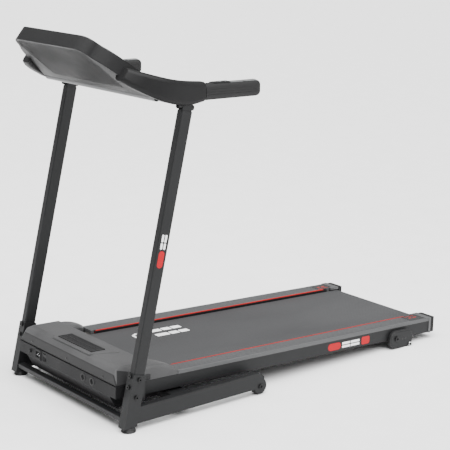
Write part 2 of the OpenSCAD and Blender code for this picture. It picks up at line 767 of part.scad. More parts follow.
// Motor, its pulley and the drive belt
motor_y = -14;
motor_z = 10;
motor_r = 36;
motor_x0 = -belt_w / 2 + 26;
motor_l = 150;
motor_shaft_r = 5;
pulley_r = 10;
pulley_x0 = -belt_w / 2 - 6 - pulley_w;
module drive_motor() {
    color("#303236") on_deck() translate([0, motor_y, motor_z]) {
        rod_from(motor_r, motor_x0, motor_x0 + motor_l);
        rod_from(motor_shaft_r, pulley_x0 - 2, motor_x0 + 1);
        translate([motor_x0 + 20, -motor_r * 0.6, deck_bottom - motor_z])
            cube([motor_l - 40, motor_r * 1.2, 14]);
    }
}
module motor_pulley() {
    color(silver) on_deck() translate([0, motor_y, motor_z]) difference() {
        rod_from(pulley_r, pulley_x0, pulley_x0 + pulley_w);
        rod_from(motor_shaft_r + run, pulley_x0 - 4, pulley_x0 + pulley_w + 4);
    }
}
drive_span = norm([front_roller_y - motor_y, roller_z - motor_z]);
drive_angle = atan2(roller_z - motor_z, front_roller_y - motor_y);
module drive_belt() {
    small = pulley_r + play;
    big = roller_r + 2 + play;
    color(rubber_black) on_deck() translate([pulley_x0 + 3, motor_y, motor_z])
        rotate([drive_angle, 0, 0]) rotate([90, 0, 90]) linear_extrude(height = pulley_w - 6) difference() {
            belt_outline(small + 2.5, big + 2.5);
            belt_outline(small, big);
        }
}
// Outline round a small circle at the origin and a large one at the end of the span
module belt_outline(small, big) {
    hull() {
        circle(r = small);
        translate([drive_span, 0]) circle(r = big);
    }
}

module motor_controller() {
    color("#1f5a38") on_deck() {
        box([20, -22, deck_bottom + 2], [150, 46, deck_bottom + 4]);
        box([30, -15, deck_bottom + 4], [60, 32, deck_bottom + 26]);
        box([75, -10, deck_bottom + 4], [100, 10, deck_bottom + 24]);
        for (x = [25, 145], y = [-17, 41]) translate([x, y, deck_bottom]) cylinder(r = 3, h = 2.5);
    }
}

// Hood and tray round the motor
hood_seam = 14.5;
hood_half = deck_x + 6;
hood_top_half = deck_x - 15;
hood_top = 65;
hood_wall = 3;
band_front = -75;
band_low = -21.6;
tray_half = deck_x - deck_rail_w - 7;
inlet_x = -159;
breaker_x = -206;
port_z = -4; // height of the inlet, switch and breaker on the band
cable_hole_x = [99, 148];
module motor_tray() {
    floor_front = -64;
    floor_rear = -51;
    color(black_plastic) on_deck() difference() {
        union() {
            box([-hood_half, band_front, band_low], [hood_half, deck_rail_start - 1, hood_seam - play]);
            side_plate([[band_front + 3, band_low + 0.01], [-47, floor_front], [101, floor_rear],
                [105, deck_bottom - plate_t - play], [deck_rail_start - 1, deck_bottom - plate_t - play],
                [deck_rail_start - 1, band_low + 0.01]],
                -tray_half, tray_half);
        }
        box([-hood_half + hood_wall, band_front + hood_wall, band_low + hood_wall],
            [hood_half - hood_wall, deck_rail_start + cut, hood_seam + cut]);
        side_plate([[band_front + 8, band_low + 4], [-45, floor_front + 3], [98, floor_rear + 3],
            [101, deck_bottom - plate_t + 1], [deck_rail_start + cut, deck_bottom - plate_t + 1],
            [deck_rail_start + cut, band_low + 4]],
            -tray_half + hood_wall, tray_half - hood_wall);
        for (x = cable_hole_x) translate([x, band_front, port_z])
            rotate([90, 0, 0]) cylinder(r = 10, h = 10, center = true);
        translate([inlet_x, band_front, port_z]) cube([26 + 2 * play, 10, 26 + 2 * play], center = true);
        translate([inlet_x + 36, band_front, port_z]) cube([16 + 2 * play, 10, 24 + 2 * play], center = true);
        translate([breaker_x, band_front, port_z]) rotate([90, 0, 0]) cylinder(r = 7 + play, h = 10, center = true);
    }
}

// Corners of the hood's upper shell: [half width, y, z]
function hood_corners(d) = [[hood_half - d, band_front + 2 + d, hood_seam],
    [hood_top_half - d, -71 + d, 45], [hood_top_half - d, -62 + d, 59 - d],
    [hood_top_half - 6 - d, -44 + d, hood_top - d], [hood_top_half - 6 - d, 52 - d, hood_top - d],
    [hood_half - 4 - d, 52 - d, hood_seam]];
module hood_block(d) {
    hull() for (s = [-1, 1], c = hood_corners(d))
        translate([s * c[0], c[1], c[2]]) cube(0.2, center = true);
}
vent_w = 196;
vent_y0 = -43;
vent_y1 = 4;
wing_end = 153;
module motor_hood() {
    color(grey_plastic) on_deck() difference() {
        union() {
            hood_block(0);
            for (s = [1, -1]) sided(s) hood_wing(0);
        }
        difference() {
            hood_block(hood_wall);
            box([-hood_half, deck_rail_start, hood_seam - 2], [hood_half, 60, hood_seam - 1]);
        }
        box([-hood_half + hood_wall + 4, -66, hood_seam - cut], [hood_half - hood_wall - 4, 48, hood_seam + 4]);
        for (s = [1, -1]) sided(s) hood_wing(hood_wall);
        box([-belt_w / 2 - 26, 30, 0], [belt_w / 2 + 26, 100, belt_top + 5]);
        box([-vent_w / 2 - play, vent_y0 - play, hood_top - 10], [vent_w / 2 + play, vent_y1 + play, hood_top + 10]);
        for (x = [-200, 0, 200]) translate([x * hood_half / 273, -71, hood_seam + 11])
            rotate([90, 0, 0]) cylinder(r = 3, h = 12, center = true);
    }
}
// Wings that run back beside the belt, over the fronts of the side rails
module hood_wing(d) {
    top = [[20, 54], [36, 55], [66, 56], [90, 54], [110, 49], [130, 42], [wing_end, 28]];
    plan = [[strip_x - 12 + d, 30 - 2 * d], [strip_x - 8 + d, 70], [strip_x + 8 + d, 110],
        [strip_x + 30 + d, 135], [deck_x - 6 - d, wing_end - d], [deck_x - d, wing_end - d],
        [deck_x - d, 30 - 2 * d]];
    intersection() {
        side_plate(concat([for (p = top) [p[0], p[1] - d]], [[wing_end, deck_top + 0.5 - d], [20, deck_top + 0.5 - d]]),
            0, deck_x + 10);
        linear_extrude(height = 200, center = true) polygon(plan);
    }
}

module vent_grille() {
    color(grey_plastic) on_deck() difference() {
        union() {
            box([-vent_w / 2, vent_y0, hood_top - 3], [vent_w / 2, vent_y1, hood_top + 1.5]);
        }
        for (i = [0 : 3]) translate([-vent_w / 2 + 8, vent_y0 + 8 + i * 9, hood_top - 5])
            cube([vent_w - 16, 5, 10]);
    }
}

module power_inlet() {
    color(rubber_black) on_deck() translate([inlet_x, band_front, port_z]) difference() {
        translate([-13, -1.5, -13]) cube([26, 24, 26]);
        translate([-10, -cut - 1.5, -9]) cube([20, 14, 18]);
    }
}
module power_switch() {
    color(rubber_black) on_deck() translate([inlet_x + 36, band_front, port_z]) {
        translate([-8, 0.5, -10]) cube([16, 10, 20]);
        side_plate([[0.6, -10], [-3, -9], [0.6, 0], [-0.5, 10], [1, 10], [1, -10]], -8, 8);
    }
}
module breaker_button() {
    color(rubber_black) on_deck() translate([breaker_x, band_front, port_z]) rotate([90, 0, 0]) {
        cylinder(r = 5, h = 5);
        translate([0, 0, -14]) cylinder(r = 7, h = 15);
    }
}

// Rear incline feet: cams that turn down about a bolt, each with a lock pin
module incline_foot(s) {
    x0 = deck_x + play;
    x1 = x0 + incline_w;
    color(rubber_black) sided(s) on_deck() translate([0, incline_y, incline_z]) difference() {
        union() {
            translate([0, 0, -foot_drop]) rod_from(incline_r, x0, x1);
            translate([0, incline_span, -foot_drop]) rod_from(incline_r, x0, x1);
            box([x0, 0, -foot_drop - incline_r], [x1, incline_span, -foot_drop + incline_r]);
        }
        rod_from(incline_pin_r + run, x0 - cut, x1 + cut);
        translate([0, pin_back, -pin_down]) rod_from(incline_pin_r + run, x0 - cut, x1 + cut);
        for (y = [0.56, 0.8]) translate([0, y * pin_back, -foot_drop]) rod_from(3, x0 - cut, x1 + cut);
    }
}
module incline_foot_left() incline_foot(1);
module incline_foot_right() incline_foot(-1);

// Bolts that the incline feet turn on
module incline_bolts() {
    color(silver) both_sides() on_deck() translate([deck_x + play + incline_w + play, incline_y, incline_z])
        socket_bolt(incline_pin_r, incline_w + 2 * play + 5, 9, 4);
}

// Sprung lock pins, each with a round head to pull
module pull_pin(s) {
    x1 = deck_x + play + incline_w;
    color(silver) sided(s) on_deck() translate([0, incline_y + pin_back, incline_z - pin_down]) {
        rod_from(incline_pin_r, deck_x + play, x1 + 4);
        rod_from(incline_pin_r + 3, x1 + 0.5, x1 + 7);
    }
}
module pull_pin_left() pull_pin(1);
module pull_pin_right() pull_pin(-1);

base_rail_left();
base_rail_right();
front_crossbar();
mid_crossbar();
upright_bracket_left();
upright_bracket_right();
upright_left();
upright_right();
frame_bolts();
base_feet();
transport_wheel_left();
transport_wheel_right();
console_posts();
console_crossbar();
console_shell();
console_back();
console_face();
console_display();
console_board();
arm_cover_left();
arm_cover_right();
handle_left();
handle_right();
pulse_sensors();
start_button();
stop_button();
speed_up_button();
speed_down_button();
handle_up_button();
handle_down_button();
safety_key();
strut_cylinder();
strut_rod();
deck_rail_left();
deck_rail_right();
deck_crossbars();
running_board();
running_belt();
foot_rail_left();
foot_rail_right();
trim_strips();
end_caps();
drive_motor();
motor_controller();
motor_tray();
motor_hood();
vent_grille();
power_inlet();
power_switch();
breaker_button();
front_roller();
rear_roller();
motor_pulley();
roller_shafts();
drive_belt();
incline_foot_left();
incline_foot_right();
incline_bolts();
pull_pin_left();
pull_pin_right();
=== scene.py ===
import json
import math

import bmesh
import bpy
from mathutils import Matrix, Vector

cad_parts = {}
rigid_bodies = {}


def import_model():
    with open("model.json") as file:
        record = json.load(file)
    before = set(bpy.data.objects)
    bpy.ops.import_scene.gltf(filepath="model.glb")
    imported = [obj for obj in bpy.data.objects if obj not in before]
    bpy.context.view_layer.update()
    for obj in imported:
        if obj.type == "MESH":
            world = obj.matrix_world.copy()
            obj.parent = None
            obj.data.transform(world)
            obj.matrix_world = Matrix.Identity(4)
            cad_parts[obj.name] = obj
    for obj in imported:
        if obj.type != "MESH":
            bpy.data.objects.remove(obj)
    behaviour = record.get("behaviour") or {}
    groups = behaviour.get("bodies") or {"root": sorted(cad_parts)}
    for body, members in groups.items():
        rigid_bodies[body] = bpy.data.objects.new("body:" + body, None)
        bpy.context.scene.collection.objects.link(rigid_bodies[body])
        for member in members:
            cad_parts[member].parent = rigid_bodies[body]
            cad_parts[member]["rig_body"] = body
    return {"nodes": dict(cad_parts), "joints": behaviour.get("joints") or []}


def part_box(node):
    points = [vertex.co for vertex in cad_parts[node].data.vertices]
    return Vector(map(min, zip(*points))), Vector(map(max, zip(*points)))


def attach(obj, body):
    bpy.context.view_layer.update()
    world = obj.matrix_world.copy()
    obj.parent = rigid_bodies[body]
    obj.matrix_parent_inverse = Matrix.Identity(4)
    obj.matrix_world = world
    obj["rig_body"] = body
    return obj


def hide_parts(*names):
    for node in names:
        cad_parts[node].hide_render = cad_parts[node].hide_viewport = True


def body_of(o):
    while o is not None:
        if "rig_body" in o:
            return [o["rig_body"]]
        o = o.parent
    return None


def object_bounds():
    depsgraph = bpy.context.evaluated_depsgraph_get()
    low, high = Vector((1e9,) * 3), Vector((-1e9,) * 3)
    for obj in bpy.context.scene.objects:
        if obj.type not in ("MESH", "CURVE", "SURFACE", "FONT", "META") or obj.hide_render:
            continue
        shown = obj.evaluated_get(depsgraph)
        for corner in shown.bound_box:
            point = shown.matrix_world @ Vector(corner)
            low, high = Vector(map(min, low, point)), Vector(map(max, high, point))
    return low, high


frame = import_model()
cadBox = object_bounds()
joints = {j["name"]: j for j in frame["joints"]}
print("frame loaded:", len(frame["nodes"]), "nodes")

mm = 0.001


# ---- small tools for materials ----

def startMaterial(name):
    material = bpy.data.materials.new(name)
    material.use_nodes = True
    nodes = material.node_tree.nodes
    links = material.node_tree.links
    shader = nodes["Principled BSDF"]
    coords = nodes.new("ShaderNodeTexCoord")
    return material, nodes, links, shader, coords.outputs["Object"]


def noiseFrom(nodes, links, source, scale, detail=4.0, stretch=None, turn=0.0):
    if stretch or turn:
        mapping = nodes.new("ShaderNodeMapping")
        mapping.inputs["Scale"].default_value = stretch or (1, 1, 1)
        mapping.inputs["Rotation"].default_value = (0, 0, turn)
        links.new(source, mapping.inputs["Vector"])
        source = mapping.outputs["Vector"]
    noise = nodes.new("ShaderNodeTexNoise")
    noise.inputs["Scale"].default_value = scale
    noise.inputs["Detail"].default_value = detail
    links.new(source, noise.inputs["Vector"])
    return noise.outputs["Fac"]


def mixColours(nodes, links, factor, first, second, low=0.35, high=0.65):
    ramp = nodes.new("ShaderNodeValToRGB")
    ramp.color_ramp.elements[0].position = low
    ramp.color_ramp.elements[0].color = (*first, 1)
    ramp.color_ramp.elements[1].position = high
    ramp.color_ramp.elements[1].color = (*second, 1)
    links.new(factor, ramp.inputs["Fac"])
    return ramp.outputs["Color"]


def spreadTo(nodes, links, factor, low, high):
    spread = nodes.new("ShaderNodeMapRange")
    spread.inputs["From Min"].default_value = 0.3
    spread.inputs["From Max"].default_value = 0.7
    spread.inputs["To Min"].default_value = low
    spread.inputs["To Max"].default_value = high
    links.new(factor, spread.inputs["Value"])
    return spread.outputs["Result"]


def bumpFrom(nodes, links, height, strength, depth, under=None):
    bump = nodes.new("ShaderNodeBump")
    bump.inputs["Strength"].default_value = strength
    bump.inputs["Distance"].default_value = depth
    links.new(height, bump.inputs["Height"])
    if under:
        links.new(under, bump.inputs["Normal"])
    return bump.outputs["Normal"]


# Powder coat, moulded plastic and rubber: a mottled colour, a fine grain and a soft unevenness
def grainedFinish(name, colour, rough, grainScale, grainDepth, metal=0.0, tint=0.12, specular=0.13, coat=0.0):
    material, nodes, links, shader, where = startMaterial(name)
    patches = noiseFrom(nodes, links, where, 9.0)
    grain = noiseFrom(nodes, links, where, grainScale, 2.0)
    dark = tuple(c * (1 - tint) for c in colour)
    light = tuple(min(1, c * (1 + tint)) for c in colour)
    links.new(mixColours(nodes, links, patches, dark, light), shader.inputs["Base Color"])
    links.new(spreadTo(nodes, links, patches, rough * 0.88, min(1, rough * 1.12)), shader.inputs["Roughness"])
    wave = bumpFrom(nodes, links, patches, 0.12, 0.002)
    links.new(bumpFrom(nodes, links, grain, 0.35, grainDepth, wave), shader.inputs["Normal"])
    shader.inputs["Metallic"].default_value = metal
    shader.inputs["Specular IOR Level"].default_value = specular
    if coat:
        shader.inputs["Coat Weight"].default_value = coat
        shader.inputs["Coat Roughness"].default_value = 0.15
    return material


# Brushed or plated steel: streaks along one direction
def streakedMetal(name, colour, rough, stretch):
    material, nodes, links, shader, where = startMaterial(name)
    streaks = noiseFrom(nodes, links, where, 60.0, 3.0, stretch)
    dark = tuple(c * 0.8 for c in colour)
    links.new(mixColours(nodes, links, streaks, dark, colour), shader.inputs["Base Color"])
    links.new(spreadTo(nodes, links, streaks, rough * 0.8, rough * 1.25), shader.inputs["Roughness"])
    links.new(bumpFrom(nodes, links, streaks, 0.15, 0.0002), shader.inputs["Normal"])
    shader.inputs["Metallic"].default_value = 1.0
    return material


# Running belt: a fine diamond weave pressed into rubber, with patchy roughness
def beltWeave():
    material, nodes, links, shader, where = startMaterial("runningBeltWeave")
    diagonals = []
    for turn in (0.785, -0.785):
        mapping = nodes.new("ShaderNodeMapping")
        mapping.inputs["Rotation"].default_value = (0, 0, turn)
        links.new(where, mapping.inputs["Vector"])
        wave = nodes.new("ShaderNodeTexWave")
        wave.wave_type = "BANDS"
        wave.inputs["Scale"].default_value = 60.0
        links.new(mapping.outputs["Vector"], wave.inputs["Vector"])
        diagonals.append(wave.outputs["Fac"])
    weave = nodes.new("ShaderNodeMath")
    weave.operation = "MULTIPLY"
    links.new(diagonals[0], weave.inputs[0])
    links.new(diagonals[1], weave.inputs[1])
    dust = noiseFrom(nodes, links, where, 5.0, 6.0, (1.0, 0.35, 1.0))
    speck = noiseFrom(nodes, links, where, 420.0, 1.0)
    ground = mixColours(nodes, links, dust, (0.033, 0.0335, 0.035), (0.043, 0.0435, 0.045))
    mix = nodes.new("ShaderNodeMix")
    mix.data_type = "RGBA"
    mix.inputs[7].default_value = (0.012, 0.012, 0.013, 1)
    amount = nodes.new("ShaderNodeMath")
    amount.operation = "MULTIPLY"
    amount.inputs[1].default_value = 0.6
    links.new(weave.outputs["Value"], amount.inputs[0])
    links.new(amount.outputs["Value"], mix.inputs[0])
    links.new(ground, mix.inputs[6])
    links.new(mix.outputs[2], shader.inputs["Base Color"])
    links.new(spreadTo(nodes, links, dust, 0.52, 0.68), shader.inputs["Roughness"])
    shader.inputs["Specular IOR Level"].default_value = 0.35
    fine = bumpFrom(nodes, links, speck, 0.25, 0.0003)
    links.new(bumpFrom(nodes, links, weave.outputs["Value"], 0.5, 0.0005, fine), shader.inputs["Normal"])
    return material


# Board under the belt: dark all over as painted shade for where it shows in the gaps beside the belt, with a grain
# along the deck
def boardPaintedShade():
    material, nodes, links, shader, where = startMaterial("boardPaintedShade")
    fibres = noiseFrom(nodes, links, where, 45.0, 8.0, (1.0, 0.2, 1.0))
    links.new(mixColours(nodes, links, fibres, (0.010, 0.009, 0.008), (0.022, 0.020, 0.018)), shader.inputs["Base Color"])
    links.new(spreadTo(nodes, links, fibres, 0.5, 0.75), shader.inputs["Roughness"])
    links.new(bumpFrom(nodes, links, fibres, 0.3, 0.0004), shader.inputs["Normal"])
    return material


# Foot rail: ribs running along the deck, in a patchy dark grey
def ribbedTread():
    material, nodes, links, shader, where = startMaterial("ribbedTread")
    split = nodes.new("ShaderNodeSeparateXYZ")
    links.new(where, split.inputs["Vector"])
    ribs = nodes.new("ShaderNodeMath")
    ribs.operation = "SINE"
    fast = nodes.new("ShaderNodeMath")
    fast.operation = "MULTIPLY"
    fast.inputs[1].default_value = 2400.0
    links.new(split.outputs["X"], fast.inputs[0])
    links.new(fast.outputs["Value"], ribs.inputs[0])
    patches = noiseFrom(nodes, links, where, 30.0, 5.0, (1.0, 0.15, 1.0))
    grain = noiseFrom(nodes, links, where, 700.0, 2.0)
    links.new(mixColours(nodes, links, patches, (0.056, 0.057, 0.059), (0.066, 0.067, 0.069)), shader.inputs["Base Color"])
    links.new(spreadTo(nodes, links, patches, 0.42, 0.6), shader.inputs["Roughness"])
    shader.inputs["Specular IOR Level"].default_value = 0.3
    fine = bumpFrom(nodes, links, grain, 0.3, 0.0003)
    links.new(bumpFrom(nodes, links, ribs.outputs["Value"], 0.15, 0.0002, fine), shader.inputs["Normal"])
    return material


# Circuit board: green mask with lighter green tracks
def circuitGreen():
    material, nodes, links, shader, where = startMaterial("circuitGreen")
    tracks = nodes.new("ShaderNodeTexVoronoi")
    tracks.feature = "DISTANCE_TO_EDGE"
    tracks.inputs["Scale"].default_value = 90.0
    links.new(where, tracks.inputs["Vector"])
    links.new(mixColours(nodes, links, tracks.outputs["Distance"], (0.10, 0.28, 0.09), (0.012, 0.10, 0.040), 0.02, 0.06),
              shader.inputs["Base Color"])
    links.new(bumpFrom(nodes, links, tracks.outputs["Distance"], 0.2, 0.0002), shader.inputs["Normal"])
    shader.inputs["Roughness"].default_value = 0.35
    return material


finishes = {
    "powderCoat": grainedFinish("powderCoat", (0.0115, 0.0118, 0.0123), 0.42, 1500, 0.00025, tint=0.10, specular=0.16),
    "consolePlastic": grainedFinish("consolePlastic", (0.0085, 0.0085, 0.0088), 0.44, 1100, 0.00035, specular=0.13),
    "underPlastic": grainedFinish("underPlastic", (0.017, 0.017, 0.0175), 0.6, 1100, 0.0003, specular=0.0),
    # Lit and shaded copies of the hood's one plastic: painted light on the tops, painted shade on the front and sides
    "hoodPlasticLitCopy": grainedFinish("hoodPlasticLitCopy", (0.058, 0.058, 0.059), 0.46, 1000, 0.0004, specular=0.13),
    "hoodPlasticShadeCopy": grainedFinish("hoodPlasticShadeCopy", (0.018, 0.018, 0.0185), 0.46, 1000, 0.0004, specular=0.14),
    "trayPlastic": grainedFinish("trayPlastic", (0.0085, 0.0085, 0.009), 0.5, 1000, 0.0004, specular=0.12),
    "facePlastic": grainedFinish("facePlastic", (0.008, 0.008, 0.0085), 0.28, 1600, 0.0001, coat=0.3),
    "gripFoam": grainedFinish("gripFoam", (0.0055, 0.0055, 0.0058), 0.62, 520, 0.0006, tint=0.2, specular=0.3),
    # Black rubber, also used for the painted shade in the foot rails' grooves
    "rubberAndPaintedShade": grainedFinish("rubberAndPaintedShade", (0.0055, 0.0055, 0.006), 0.62, 800, 0.0005, tint=0.2, specular=0.35),
    "footRubber": grainedFinish("footRubber", (0.006, 0.006, 0.0065), 0.55, 800, 0.0004, tint=0.2, specular=0.35),
    "capPlastic": grainedFinish("capPlastic", (0.0075, 0.0075, 0.008), 0.44, 1000, 0.0004),
    "capTop": grainedFinish("capTop", (0.055, 0.0555, 0.057), 0.34, 1000, 0.0003, specular=0.4),
    "stripRed": grainedFinish("stripRed", (0.3, 0.01, 0.009), 0.36, 900, 0.0003, tint=0.14),
    "markRed": grainedFinish("markRed", (0.36, 0.004, 0.01), 0.4, 900, 0.0001, tint=0.08),
    "markWhite": grainedFinish("markWhite", (0.80, 0.80, 0.80), 0.45, 900, 0.0001, tint=0.04),
    # Black for the cap labels, and for painted shade under the vent and in the incline feet's holes
    "labelBlackAndPaintedShade": grainedFinish("labelBlackAndPaintedShade", (0.005, 0.005, 0.005), 0.22, 900, 0.0001, tint=0.2, coat=0.4),
    "buttonGreen": grainedFinish("buttonGreen", (0.035, 0.26, 0.075), 0.34, 900, 0.0002),
    "buttonRed": grainedFinish("buttonRed", (0.50, 0.028, 0.025), 0.34, 900, 0.0002),
    "buttonGrey": grainedFinish("buttonGrey", (0.16, 0.165, 0.17), 0.36, 900, 0.0002),
    "boltBlack": grainedFinish("boltBlack", (0.008, 0.008, 0.0085), 0.3, 1400, 0.0002, metal=0.6, specular=0.5),
    "motorPaint": grainedFinish("motorPaint", (0.030, 0.030, 0.033), 0.4, 900, 0.0004),
    "silverTube": grainedFinish("silverTube", (0.1, 0.101, 0.103), 0.34, 1500, 0.0002, metal=0.75, tint=0.08),
    "displayGlass": grainedFinish("displayGlass", (0.006, 0.008, 0.010), 0.1, 60, 0.00002, coat=0.6),
    "litSegment": grainedFinish("litSegment", (0.62, 0.09, 0.05), 0.3, 600, 0.0001),
    "brushedSteel": streakedMetal("brushedSteel", (0.62, 0.63, 0.64), 0.26, (1.0, 0.08, 1.0)),
    "zincSteel": streakedMetal("zincSteel", (0.48, 0.485, 0.49), 0.34, (0.1, 1.0, 1.0)),
    "chrome": streakedMetal("chrome", (0.80, 0.80, 0.81), 0.12, (1.0, 1.0, 1.0)),
    "beltWeave": beltWeave(),
    "boardPaintedShade": boardPaintedShade(),
    "ribbedTread": ribbedTread(),
    "circuitGreen": circuitGreen(),
}
print("finishes made:", len(finishes))


# ---- small tools for pieces ----

# Bakes the modifiers on a piece, with its flat faces kept flat beside their rounded edges
def settle(piece, smoothAngle):
    piece.data.shade_smooth()
    piece.data.set_sharp_from_angle(angle=math.radians(smoothAngle))
    weighted = piece.modifiers.new("flatFaces", "WEIGHTED_NORMAL")
    weighted.keep_sharp = True
    weighted.weight = 50
    bpy.context.view_layer.update()
    baked = bpy.data.meshes.new_from_object(piece.evaluated_get(bpy.context.evaluated_depsgraph_get()))
    piece.modifiers.clear()
    old = piece.data
    piece.data = baked
    bpy.data.meshes.remove(old)


def addPiece(name, bm, finish, body, replaced=(), smoothAngle=38):
    bmesh.ops.recalc_face_normals(bm, faces=bm.faces)
    mesh = bpy.data.meshes.new(name)
    bm.to_mesh(mesh)
    bm.free()
    piece = bpy.data.objects.new(name, mesh)
    bpy.context.scene.collection.objects.link(piece)
    mesh.materials.append(finishes[finish])
    settle(piece, smoothAngle)
    if replaced:
        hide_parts(*replaced)
    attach(piece, body)
    return piece


def block(bm, low, high):
    low, high = Vector(low), Vector(high)
    made = bmesh.ops.create_cube(bm, size=1.0)["verts"]
    bmesh.ops.scale(bm, vec=high - low, verts=made)
    bmesh.ops.translate(bm, vec=(low + high) / 2, verts=made)
    return made


def edgesOf(verts):
    return list({e for v in verts for e in v.link_edges})


def roundEdges(bm, edges, offset, segments=2):
    made = bmesh.ops.bevel(bm, geom=edges, offset=offset, offset_type="OFFSET", segments=segments, profile=0.5,
                           affect="EDGES", material=-1, clamp_overlap=True)
    return made["verts"]


def softBlock(bm, low, high, offset, segments=2):
    before = set(bm.verts)
    roundEdges(bm, edgesOf(block(bm, low, high)), offset, segments)
    return [v for v in bm.verts if v not in before]


def rodBetween(bm, start, end, radius, segments=32, endRadius=None):
    start, end = Vector(start), Vector(end)
    turn = Vector((0, 0, 1)).rotation_difference(end - start).to_matrix().to_4x4()
    place = Matrix.Translation((start + end) / 2) @ turn
    return bmesh.ops.create_cone(bm, cap_ends=True, segments=segments, radius1=radius,
                                 radius2=radius if endRadius is None else endRadius,
                                 depth=(end - start).length, matrix=place)["verts"]


# Carries a closed section through a list of sections and closes both ends
def loft(bm, sections):
    loops = []
    for section in sections:
        ring = [bm.verts.new(p) for p in section]
        loops.append((ring, [bm.edges.new((ring[i - 1], ring[i])) for i in range(len(ring))]))
    for one, two in zip(loops, loops[1:]):
        bmesh.ops.bridge_loops(bm, edges=one[1] + two[1])
    bm.faces.new(loops[0][0])
    bm.faces.new(loops[-1][0])
    return [v for ring, edges in loops for v in ring]


# A rounded section standing across the machine, w wide and h high
def roundedSection(centre, w, h, corner, steps=4):
    points = []
    for sx, sz, start in ((1, 1, 0), (-1, 1, 90), (-1, -1, 180), (1, -1, 270)):
        for i in range(steps + 1):
            a = math.radians(start + 90 * i / steps)
            points.append(Vector((centre[0] + sx * (w / 2 - corner) + corner * math.cos(a), centre[1],
                                  centre[2] + sz * (h / 2 - corner) + corner * math.sin(a))))
    return points


# A flat outline in its own plane, raised by depth; place carries it into the machine
def plateFrom(bm, outline, depth, matrix):
    face = bm.faces.new([bm.verts.new((x, y, 0)) for x, y in outline])
    made = bmesh.ops.extrude_face_region(bm, geom=[face])["geom"]
    top = [g for g in made if isinstance(g, bmesh.types.BMVert)]
    bmesh.ops.translate(bm, vec=(0, 0, depth), verts=top)
    both = list(face.verts) + top
    bmesh.ops.transform(bm, matrix=matrix, verts=both)
    return both, top


def roundedOutline(w, h, corner, steps=5, x=0.0, y=0.0):
    outline = []
    for sx, sy, start in ((1, 1, 0), (-1, 1, 90), (-1, -1, 180), (1, -1, 270)):
        for i in range(steps + 1):
            a = math.radians(start + 90 * i / steps)
            outline.append((x + sx * (w / 2 - corner) + corner * math.cos(a),
                            y + sy * (h / 2 - corner) + corner * math.sin(a)))
    return outline


# A CAD node shown with its edges broken, as a painted, cast or pressed piece has them
def softened(node, finish, width, segments=2, angle=32, smoothAngle=38, within=None):
    source = frame["nodes"][node]
    bm = bmesh.new()
    bm.from_mesh(source.data)
    bmesh.ops.remove_doubles(bm, verts=bm.verts, dist=0.00001)
    bmesh.ops.dissolve_limit(bm, angle_limit=math.radians(0.8), verts=bm.verts, edges=bm.edges)
    body = body_of(source)[0]
    mesh = bpy.data.meshes.new(node + "Soft")
    bm.to_mesh(mesh)
    bm.free()
    piece = bpy.data.objects.new(node + "Soft", mesh)
    bpy.context.scene.collection.objects.link(piece)
    mesh.materials.clear()
    mesh.materials.append(finishes[finish])
    if within:
        trimmed = piece.modifiers.new("within", "BOOLEAN")
        trimmed.operation = "INTERSECT"
        trimmed.solver = "EXACT"
        trimmed.object = within
    bevel = piece.modifiers.new("softEdges", "BEVEL")
    bevel.width = width
    bevel.segments = segments
    bevel.limit_method = "ANGLE"
    bevel.angle_limit = math.radians(angle)
    bevel.profile = 0.5
    bpy.context.view_layer.update()
    baked = bpy.data.meshes.new_from_object(piece.evaluated_get(bpy.context.evaluated_depsgraph_get()))
    piece.modifiers.clear()
    piece.data = baked
    settle(piece, smoothAngle)
    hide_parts(node)
    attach(piece, body)
    return piece


def dress(node, finish):
    mesh = frame["nodes"][node].data
    mesh.materials.clear()
    mesh.materials.append(finishes[finish])


def midOf(node):
    low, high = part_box(node)
    return (low + high) / 2


# ---- the machine's own frames ----

pivot = Vector(joints["deck_fold"]["pos_m"])
deckPitch = math.radians(2.76)
deckSpace = Matrix.Translation(pivot) @ Matrix.Rotation(-deckPitch, 4, "X")
consoleTilt = math.radians(39.6)
shellLow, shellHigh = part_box("console_shell")
consoleTop = 0.046  # height of the console face over the console's underside
consoleSpace = Matrix.Translation((0, shellLow.y, shellHigh.z - (consoleTop - 0.003) * math.cos(consoleTilt))) \
    @ Matrix.Rotation(-consoleTilt, 4, "X")
lean = math.radians(13.25)
uprightX = midOf("upright_left").x
baseFront = pivot.y - 0.070
uprightSpace = Matrix.Translation((uprightX, baseFront + 0.0085, 0)) @ Matrix.Rotation(-lean, 4, "X")
gripLow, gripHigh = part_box("handle_left")
gripPitch = math.radians(1.4)
mirrorX = Matrix.Scale(-1, 4, (1, 0, 0))
sides = (("left", Matrix.Identity(4)), ("right", mirrorX))


def carry(bm, matrix, verts=None):
    bmesh.ops.transform(bm, matrix=matrix, verts=list(verts or bm.verts))


# ---- base frame ----

softEdge = {"rail": 1.1 * mm, "sleeve": 1.2 * mm, "bolt": 0.5 * mm}
for node in ("base_rail_left", "base_rail_right", "front_crossbar", "mid_crossbar"):
    softened(node, "powderCoat", softEdge["rail"])
for node in ("upright_bracket_left", "upright_bracket_right"):
    softened(node, "powderCoat", softEdge["sleeve"])
softened("frame_bolts", "boltBlack", softEdge["bolt"])

uprightTube = {"width": 0.025, "depth": 0.038, "start": 0.0195, "length": 0.925, "corner": 0.0035}
for side, flip in sides:
    bm = bmesh.new()
    t = uprightTube
    made = block(bm, (-t["width"] / 2, -t["depth"] / 2, t["start"]),
                 (t["width"] / 2, t["depth"] / 2, t["start"] + t["length"]))
    long = [e for e in edgesOf(made) if abs(e.verts[0].co.z - e.verts[1].co.z) > 0.1]
    roundEdges(bm, long, t["corner"], 4)
    ends = [e for e in bm.edges if abs(e.verts[0].co.z - e.verts[1].co.z) < 1e-5]
    roundEdges(bm, ends, 0.0006, 1)
    carry(bm, uprightSpace)
    carry(bm, flip)
    addPiece("uprightTube_" + side, bm, "powderCoat", "base", ["upright_" + side])
softened("console_posts", "powderCoat", 0.6 * mm)
print("base frame done")
